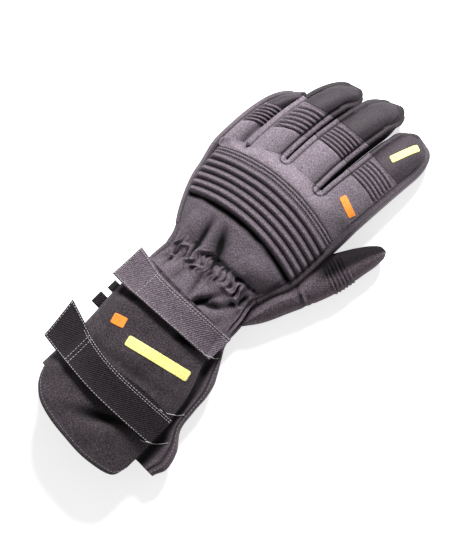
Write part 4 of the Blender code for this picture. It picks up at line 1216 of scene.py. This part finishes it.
thumbSize = {
    "length": 0.125,
    "thickness": 0.035,
    "width": 0.030,
    "power": 2.4,
    "ribs": 6,
    "ribsFrom": 0.605,
    "ribsTo": 0.755,
    "ribRise": 0.0015,
    "creaseAt": 0.425,
    "crease": 0.0012,
    "pull": 0.0013,  # the ridge beside the crease
    "seamDepth": 0.0007,
}
thumbSections = (
    ("along", "x", "y", "z", "thick", "wide"),
    (0.00, 0.26, 0.00, 0.52, 0.40, 0.46),
    (0.14, 0.33, 0.14, 0.53, 0.49, 0.50),
    (0.30, 0.40, 0.30, 0.53, 0.50, 0.51),
    (0.46, 0.47, 0.45, 0.52, 0.48, 0.50),
    (0.62, 0.535, 0.60, 0.51, 0.44, 0.49),
    (0.78, 0.590, 0.75, 0.50, 0.35, 0.47),
    (0.90, 0.637, 0.87, 0.49, 0.25, 0.42),
    (0.96, 0.664, 0.93, 0.48, 0.16, 0.31),
    (0.985, 0.673, 0.948, 0.475, 0.11, 0.22),
    (1.00, 0.681, 0.962, 0.47, 0.02, 0.05),
)


def thumbRings(along, turn):
    # along (n, 1), turn (1, m) in half turns from the thumb's outer side
    size = thumbSize
    x, y, z, thick, wide = [read(thumbSections, column, along) for column in ("x", "y", "z", "thick", "wide")]
    centre = place(x * size["length"], y * size["length"], z * size["width"])
    low, high = np.maximum(along - 0.02, 0), np.minimum(along + 0.02, 1)
    runX, runY = [read(thumbSections, c, high) - read(thumbSections, c, low) for c in ("x", "y")]
    length = np.hypot(runX, runY)
    c, s = np.cos(math.pi * turn), np.sin(math.pi * turn)
    power = 2 / size["power"]
    sideways = np.sign(c) * np.abs(c) ** power * (thick * size["thickness"])
    upward = np.sign(s) * np.abs(s) ** power * (wide * size["width"])
    return centre + place(runY / length * sideways, -runX / length * sideways, upward)


def makeThumb():
    ending = np.sin(np.radians(steps(0, 90, 24)[1:]))
    along = np.concatenate([steps(0, 0.88, 120), mix(0.88, 1.0, ending)])[:, None]
    turn = steps(0, 2, 84)[None]
    base = thumbRings(along, turn)
    size = thumbSize
    # ribs and a crease over the outer and upper side
    side = (turn + 0.35) % 2 - 0.35
    onBack = smooth(-0.16, -0.02, side) * smooth(0.72, 0.56, side)
    rib = (along - size["ribsFrom"]) / (size["ribsTo"] - size["ribsFrom"]) * size["ribs"]
    ribs, grooves = ribField(rib, size["ribs"])
    field = smooth(-0.5, 0.2, rib) * smooth(size["ribs"] + 0.5, size["ribs"] - 0.2, rib)
    creaseAt = size["creaseAt"] + 0.10 * (side - 0.25) ** 2
    crease = bump(along, creaseAt - 0.020, 0.013) * onBack
    pulled = bump(along, creaseAt, 0.008) * onBack * smooth(-0.04, 0.12, side)
    beyond = bump(along, creaseAt + 0.022, 0.012) * onBack
    seam = bump(side, 0.86, 0.018) + bump(side, -0.20, 0.018)
    height = (size["ribRise"] * ribs - 0.0004 * field) * onBack
    height = height - size["crease"] * crease + size["pull"] * pulled - 0.0008 * beyond
    height = height - size["seamDepth"] * seam + 1.1 * softness(base, 51)
    rows = base - normalsOf(base, closed=True) * height[..., None]
    shade = np.clip(0.75 * grooves**2 * onBack + 0.5 * crease + 0.55 * seam, 0, 1)
    # it comes out from under the hand's side wall
    here = bodySection(rows[..., 1])
    past = rows[..., 0] - here["right"] - 0.0046
    room = here["upper"] - 0.0058 + 1.1 * np.maximum(0, past)
    rows[..., 2] = np.where(rows[..., 1] < hand["length"], np.minimum(rows[..., 2], room), rows[..., 2])
    rows[-1] = rows[-1].mean(axis=0)  # the tip closes to a point
    # painted shade on the thumb's upper side next to the hand, and painted shadow where it runs in under the
    # hand's side wall
    inner = smooth(0.35, 0.50, side) * smooth(1.5, 1.2, side) * smooth(0.48, 0.62, along)
    shadowUnderWall = smooth(0.004, 0.0, past) * (rows[..., 1] < 0.105)
    piece = cloth("thumb_tube", [rows], "thumb", flip=True, shades=[shade + 0.9 * inner + 0.8 * shadowUnderWall])
    # what lies inside the hand is cut away
    made = bmesh.new()
    made.from_mesh(piece.data)
    drop = []
    for face in made.faces:
        c = face.calc_center_median() - Vector(waist)
        here = bodySection(c.y)
        if c.x < here["right"] - 0.001 and c.y < hand["length"] and 0.0035 < c.z < here["upper"]:
            drop.append(face)
    bmesh.ops.delete(made, geom=drop, context="FACES")
    made.to_mesh(piece.data)
    made.free()
    addWall(piece, walls["thin"], lined=True)
    stands(piece, "leather", "thumb", "ribs_thumb")


tongueEdge = (
    ("across", "reach"),
    (-1.00, 0.00),
    (-0.93, 0.26),
    (-0.82, 0.50),
    (-0.62, 0.75),
    (-0.30, 0.91),
    (0.10, 0.98),
    (0.40, 1.00),
    (0.70, 0.93),
    (0.88, 0.83),
    (0.96, 0.68),
    (1.00, 0.35),
)
# Section of the gusset from the back's edge down to the palm's: a tuck and then a roll
gussetFold = (
    ("step", "down", "out"),
    (0, 0.00, 0.00),
    (1, 0.18, 0.05),
    (2, 0.30, 0.30),
    (3, 0.22, 0.62),
    (4, 0.34, 0.93),
    (5, 0.62, 1.00),
    (6, 0.86, 0.82),
    (7, 1.00, 0.50),
)
# Soft dents in the cuff's back, from the waist, in millimetres
cuffDents = (
    ("x", "y", "heading", "length", "width", "depth"),
    (24, -134, 32, 22, 5.0, 4.2),
    (-6, -147, 30, 20, 7.0, -1.6),
    (30, -146, 40, 16, 7.0, -1.4),
    (-29, -49, 20, 12, 4.5, 3.6),
    (28, -43, 15, 9, 3.5, 3.6),
    (-2, -62, 20, 30, 9.0, 0.9),
    (26, -80, 70, 26, 8.0, 1.4),
    (-22, -84, 100, 22, 8.0, 1.2),
    (8, -92, 10, 34, 5.0, 1.4),
    (-20, -128, 60, 18, 6.0, 1.2),
)


def cuffBackPoint(q, s):
    start = -wrist["gatherBottom"]
    end = -cuff["length"] - cuff["tongue"] * read(tongueEdge, "reach", q)
    y = mix(start, end, s)
    here = bodySection(y)
    return bodyTop(mix(here["left"], here["right"], (q + 1) / 2), y)


def cuffRelief(at, s):
    edge = smooth(1.0, 0.96, s)
    hem = 0.0006 * bump(s, 0.985, 0.008)
    return -dents(cuffDents, at) * edge + 1.8 * softness(at, 61) + hem


def cuffRows():
    # shares of the cuff's length, and its sections there
    s = steps(0, 1, 150)[:, None]
    y = mix(-wrist["gatherBottom"], -cuff["length"], s)
    return s, y, bodySection(y)


def halfSide(y, section, way):
    # the left side from its seam, half way down, up to the back (-1) or down to the palm (1)
    seam = way * 0.0006 / (section["upper"] - section["lower"])
    return bodySide(y, -1, mix(0.5 + seam, 0.5 + 0.5 * way, steps(0, 1, 8)[None, :-1]))


def makeCuffBack():
    s, plainY, section = cuffRows()
    side = halfSide(plainY, section, -1)
    q = steps(-1, 1, 130)[None]
    rows = np.concatenate([side, cuffBackPoint(q, s)], axis=1)
    # gathers run out under the strap
    gathers = np.sin(2 * math.pi * rows[..., 0] / 0.012 + 2.4 * cloud(rows, 0.020, 24))
    height = cuffRelief(rows, s) + 0.0012 * gathers * smooth(0.16, 0.0, s)
    q = np.concatenate([np.full(side.shape[1], -1), q[0]])
    height = height * smooth(-0.2, 1, np.minimum(1.0, (1 - np.abs(q)) * 20))
    moved = rows - normalsOf(rows) * height[..., None]
    shade = 0.35 * np.clip(dents(cuffDents, rows) / 0.003, 0, 1)
    shade = hollows(height, 9, 0.0028) + shade
    piece = cloth("cuff_back_panel", [moved], "cuff", walls["heavy"], flip=True, shades=[shade])
    stands(piece, "shell", "cuff_back")
    hemShares = np.array([[0.978], [0.980]])
    hem = cuffBackPoint(steps(-0.97, 0.985, 400)[None], hemShares)
    hem = raised(hem, -cuffRelief(hem, hemShares) - 0.0003)
    stitch("tongue_hem_stitches", [hem[0]], "greyThread", "seam")


def makeCuffPalm():
    _, plainY, section = cuffRows()
    palmRight = section["right"] + section["gusset"] * section["fold"] * gussetFold[-1][2]
    q = steps(-1, 1, 60)[None]
    x = mix(section["left"], palmRight, (q + 1) / 2)
    under = place(x, plainY, floorHeight(section["floor"], section["lower"], q))
    rows = np.concatenate([halfSide(plainY, section, 1), under], axis=1)
    stands(cloth("cuff_palm_panel", [rows], "cuff", walls["heavy"]), "shell", "cuff_palm")


def makeGusset():
    _, plainY, section = cuffRows()
    fold = section["fold"]
    high = section["upper"] - mix(0.0010, hand["wall"] + 0.0007, fold)
    low = section["lower"] + 0.0010
    step = steps(0, 7, 42)[None]
    even = step / 7
    bulge = hand["sideBulge"] * 4 * even * (1 - even)
    out, sunk = read(gussetFold, "out", step), read(gussetFold, "down", step)
    ripple = 0.0009 * cloud(place(plainY, 0.03 * even, 0), 0.016, 71)
    ripple = ripple * smooth(0, 0.3, even) * smooth(1, 0.8, even)
    x = section["right"] + mix(bulge, section["gusset"] * out, fold) + ripple
    crease = bump(even, 0.46, 0.022) * fold
    rows = place(x, plainY, mix(high, low, mix(even, sunk, fold)) - 0.0016 * crease)
    shade = 0.85 * smooth(0.42, 0.25, even) * fold + 0.8 * crease
    # its first edge is sewn in under the back's edge
    tuck = place(section["right"] - 0.0035, plainY, section["upper"] - 0.0020)
    rows = np.concatenate([tuck, rows], axis=1)
    shade = np.concatenate([shade[:, :1], shade], axis=1)
    piece = cloth("cuff_gusset_fold", [rows], "gusset", walls["gusset"], flip=True, shades=[shade])
    stands(piece, "shell", "cuff_gusset")
    stitched = rows[6:-2, 23] + place(0, 0, 0.0004)  # along the top of the roll
    stitch("gusset_stitches", [stitched], "greyThread", "seam")


strapSize = {"thickness": 0.0028, "seat": 0.0015, "lift": 0.0028}
upperStrap = {
    "name": "upper_strap", "finish": "lightStrap",
    "at": 0.031, "width": 0.025, "left": 0.008, "right": 0.006, "skew": 0.0,
    # stitched rows as across, from and to; and stitched lines across the strap
    "rows": ((0.88, 0.01, 0.99), (0.72, 0.26, 0.99), (-0.90, 0.01, 0.99)),
    "crosses": (0.012, 0.265),
}
lowerStrap = {
    "name": "lower_strap", "finish": "darkStrap",
    "at": 0.1095, "width": 0.0275, "left": 0.0165, "right": 0.001, "skew": 0.0026,
    "rows": ((0.92, 0.01, 0.99), (0.78, 0.2, 0.99), (-0.92, 0.01, 0.99)),
    "crosses": (0.012, 0.245, 0.275),
}
# Middle line and width from the free end (0) to the sewn end (1), as shares of the width
upperStrapRun = (
    ("along", "rise", "width"),
    (0.00, -0.04, 1.26),
    (0.14, -0.08, 1.18),
    (0.30, -0.10, 1.02),
    (0.55, -0.05, 0.97),
    (0.80, 0.03, 0.96),
    (1.00, 0.08, 0.97),
)
lowerStrapRun = (
    ("along", "rise", "width"),
    (0.00, 0.23, 1.32),
    (0.12, 0.13, 1.22),
    (0.28, 0.01, 1.04),
    (0.52, -0.07, 0.97),
    (0.80, -0.02, 0.97),
    (1.00, 0.04, 0.97),
)


def strapSurface(size, run, s, v, lifted=0.0):
    section = bodySection(-size["at"])
    x = mix(section["left"] - hand["sideBulge"] - size["left"], section["right"] + size["right"], s)
    x = x - size["skew"] * v * smooth(0.3, 0, s)
    y = -size["at"] + size["width"] * (read(run, "rise", s) + read(run, "width", s) / 2 * v)
    here = bodySection(y)
    onCuff = np.maximum(x, here["left"] + hand["sideBulge"])
    z = bodyTop(onCuff, y)[..., 2] + strapSize["seat"] + strapSize["thickness"]
    z = z - 0.35 * (onCuff - x) + strapSize["lift"] * np.maximum(0, -v) ** 2
    hem = 0.0004 * bump(np.abs(v), 0.90, 0.05) - 0.0008 * smooth(0.95, 1.0, np.abs(v))
    wave = 0.0006 * cloud(place(x, y, 0), 0.020, 81)
    return place(x, y, z + hem + wave + lifted)


def makeStrap(size, run):
    s, v = np.meshgrid(steps(0, 1, 130), steps(-1, 1, 34), indexing="ij")
    rows = strapSurface(size, run, s, v)
    thickness = strapSize["thickness"] * 0.8
    piece = cloth(size["name"] + "_band", [rows], size["finish"], thickness, lined=False, flip=True)
    bevel = piece.modifiers.new("soft edge", "BEVEL")
    bevel.width = 0.0005
    bevel.segments = 2
    bevel.limit_method = "ANGLE"
    bevel.angle_limit = math.radians(50)
    stands(piece, "strap", size["name"])


def stitchStrap(size, run):
    lines = []
    for across, low, high in size["rows"]:
        lines.append(strapSurface(size, run, steps(low, high, 160), across, 0.0002))
    for along in size["crosses"]:
        lines.append(strapSurface(size, run, along, steps(-0.86, 0.86, 30), 0.0002))
    stitch(size["name"] + "_stitches", lines, "paleThread", "strap")


def makeStrapLayer():
    # the lower strap's backing, which shows past its upper edge near the sewn end
    s, v = np.meshgrid(steps(0.56, 0.985, 70), steps(0, 1, 8), indexing="ij")
    reach = 1.0 + 0.22 * np.sin(math.pi * (s - 0.56) / 0.425) ** 0.8
    rows = strapSurface(lowerStrap, lowerStrapRun, s, mix(0.80, reach, v), -0.0016)
    piece = cloth("lower_strap_layer", [rows], "darkStrap", walls["strapLayer"], lined=False, flip=True)
    stands(piece, "strap")


loop = {"at": 0.0700, "width": 0.011, "reach": 0.0075, "opening": 0.0052, "thick": 0.0014}
label = {"at": 0.0545, "width": 0.009, "reach": 0.005, "thick": 0.0012}


def sideSeam(size):
    # x and z of the cuff's left seam there, and y over the width of what is sewn into it
    section = bodySection(-size["at"])
    y = steps(-size["at"] - size["width"] / 2, -size["at"] + size["width"] / 2, 12)[:, None]
    return section["left"] - hand["sideBulge"] - 0.0007, y, (section["upper"] + section["lower"]) / 2


def makeLoop():
    edge, y, z = sideSeam(loop)
    half = loop["opening"] / 2
    straight = [(0.0008, -half), (-0.3 * loop["reach"], -half), (-0.55 * loop["reach"], -half)]
    bend = []
    for turn in np.radians(np.linspace(0, 180, 19)):
        bend.append((-loop["reach"] + half - half * math.sin(turn), -half * math.cos(turn)))
    path = np.array(straight + bend + [(out, -up) for out, up in straight[::-1]])
    rows = place(edge + path[None, :, 0], y, z + path[None, :, 1])
    stands(cloth("hanging_loop", [rows], "darkStrap", loop["thick"], lined=False), "strap", "loop")


def makeLabel():
    edge, y, z = sideSeam(label)
    out = steps(0, 1, 12)[None]
    x = edge + 0.0006 - (label["reach"] + 0.0006) * out
    rows = place(x, y, z + label["thick"] / 2 - 0.0004 * out**2)
    piece = cloth("side_label", [rows], "label", label["thick"], lined=False, flip=True)
    stands(piece, "label", "label")


def lieOver(names, x, y, lift):
    # points lifted off the topmost of the named pieces
    trees = []
    for name in names:
        mesh = bpy.data.objects[name].data
        faces = [tuple(p.vertices) for p in mesh.polygons]
        trees.append(BVHTree.FromPolygons([v.co for v in mesh.vertices], faces))
    rows = place(x, y, 0.0)
    for index in np.ndindex(rows.shape[:-1]):
        start = Vector((*(rows[index][:2] + waist[:2]), 0.1))
        hits = [tree.ray_cast(start, Vector((0, 0, -1)))[0] for tree in trees]
        rows[index][2] = max([hit.z for hit in hits if hit], default=0.0) + lift
    return rows


# Plain rounded bars, in millimetres from the waist
marks = (
    ("name", "on", "fromX", "fromY", "toX", "toY", "width", "finish"),
    ("cuff_long_bar", "cuff_back_panel", -4, -76, 50, -62, 9.0, "yellow"),
    ("cuff_short_bar", "cuff_back_panel", -27, -72, -15, -68, 9.0, "orange"),
    ("index_tip_bar", "fingertip_index_cap", 38, 174, 45, 197, 6.0, "yellow"),
    ("index_base_bar", "hand_back_panel", 33, 126, 50, 120, 6.0, "orange"),
)


def makeMarks():
    for name, on, fromX, fromY, toX, toY, width, finish in marks[1:]:
        start, end = np.array((fromX, fromY)) * mm, np.array((toX, toY)) * mm
        length = np.linalg.norm(end - start)
        run = (end - start) / length
        aside = np.array((-run[1], run[0]))
        share, v = np.meshgrid(steps(0, 1, 70), steps(-1, 1, 16), indexing="ij")
        corner = np.minimum(1, np.minimum(share, 1 - share) * length / 0.0015)
        half = width * mm / 2 * (0.72 + 0.28 * np.sqrt(1 - (1 - corner) ** 2))
        at = start + share[..., None] * (end - start) + (v * half)[..., None] * aside
        rows = lieOver([on], at[..., 0], at[..., 1], 0.0004)
        stands(cloth(name, [rows], finish, walls["print"], lined=False, flip=True), "label")


# Thread ends from the straps' sewn corners over to the gusset's roll: start, pull and end in millimetres
looseThreads = (
    ("fromX", "fromY", "viaX", "viaY", "toX", "toY"),
    (43.5, -40.0, 49, -41.5, 53.5, -35),
    (54, -96, 60.5, -95, 67, -86),
    (59, -124, 66.5, -121.5, 74, -111),
)


def makeLooseThreads():
    lines = []
    under = ["cuff_gusset_fold", "cuff_back_panel", "upper_strap_band", "lower_strap_band"]
    for fromX, fromY, viaX, viaY, toX, toY in looseThreads[1:]:
        share = steps(0, 1, 60)
        x = mix(mix(fromX, viaX, share), mix(viaX, toX, share), share) * mm
        y = mix(mix(fromY, viaY, share), mix(viaY, toY, share), share) * mm
        line = lieOver(under, x, y, 0.0007)
        for _ in range(6):  # the thread spans the gaps
            line[1:-1, 2] = np.maximum(line[1:-1, 2], (line[:-2, 2] + line[2:, 2]) / 2)
        lines.append(line)
    stitch("strap_end_threads", lines, "paleThread", "loose")


view = {"target": (0.0043, -0.0041, 0.020), "distance": 3.2, "tilt": 10, "turn": 46, "span": 0.4376}
keyLight = {"towards": (-0.45, 0.90, 0.95), "distance": 1.6, "size": 0.55, "power": 54}


def addCamera():
    tilt, turn = math.radians(view["tilt"]), math.radians(view["turn"])
    back = Vector((math.sin(tilt), 0, math.cos(tilt)))
    up = Vector((-math.sin(turn), math.cos(turn), 0))
    up = (up - back * up.dot(back)).normalized()
    lens = bpy.data.cameras.new("camera")
    lens.sensor_width = 36
    lens.lens = lens.sensor_width * view["distance"] / view["span"]
    lens.clip_end = 50
    camera = newObject("camera", lens)
    at = Vector(view["target"]) + back * view["distance"]
    turned = Matrix((up.cross(back), up, back)).transposed()
    camera.matrix_world = Matrix.Translation(at) @ turned.to_4x4()
    bpy.context.scene.camera = camera


def addLight():
    lamp = bpy.data.lights.new("key", "AREA")
    lamp.shape = "DISK"
    lamp.size = keyLight["size"]
    lamp.energy = keyLight["power"]
    light = newObject("key", lamp)
    heading = Vector(keyLight["towards"]).normalized()
    light.location = heading * keyLight["distance"]
    light.rotation_mode = "QUATERNION"
    light.rotation_quaternion = heading.to_track_quat("Z", "Y")


def addStage():
    floorMesh = bpy.data.meshes.new("pale_floor")
    made = bmesh.new()
    bmesh.ops.create_grid(made, x_segments=1, y_segments=1, size=3)
    bmesh.ops.translate(made, verts=made.verts, vec=(0, 0, -0.0006))
    made.to_mesh(floorMesh)
    made.free()
    # matt white sweep, a little self lit so that it stays white round the glove
    material, _, _ = startMaterial("whitePaperSweep", {
        "Base Color": hexColour("#f4f4f4"), "Roughness": 0.9,
        "Emission Color": (1, 1, 1, 1), "Emission Strength": 0.68,
    })
    floorMesh.materials.append(material)
    newObject("pale_floor", floorMesh)
    world = bpy.data.worlds.new("softStudio")
    world.use_nodes = True
    background = world.node_tree.nodes["Background"]
    background.inputs["Color"].default_value = (1, 1, 1, 1)
    background.inputs["Strength"].default_value = 0.26
    bpy.context.scene.world = world
    bpy.context.scene.view_settings.view_transform = "Standard"


fingerBacks = makeFingers()
print("fingers made")
makeHandBack(fingerBacks)
makeWelt()
makeKnucklePad()
print("back of the hand made")
makeWristBack()
makeGatheredWrist()
print("wrist made")
makeSides()
makePalm()
makeThumb()
print("side walls, palm and thumb made")
makeCuffBack()
makeCuffPalm()
makeGusset()
makeStrap(upperStrap, upperStrapRun)
makeStrap(lowerStrap, lowerStrapRun)
stitchStrap(upperStrap, upperStrapRun)
stitchStrap(lowerStrap, lowerStrapRun)
makeStrapLayer()
makeLoop()
makeLabel()
makeMarks()
makeLooseThreads()
print("cuff and straps made")
addCamera()
addLight()
addStage()
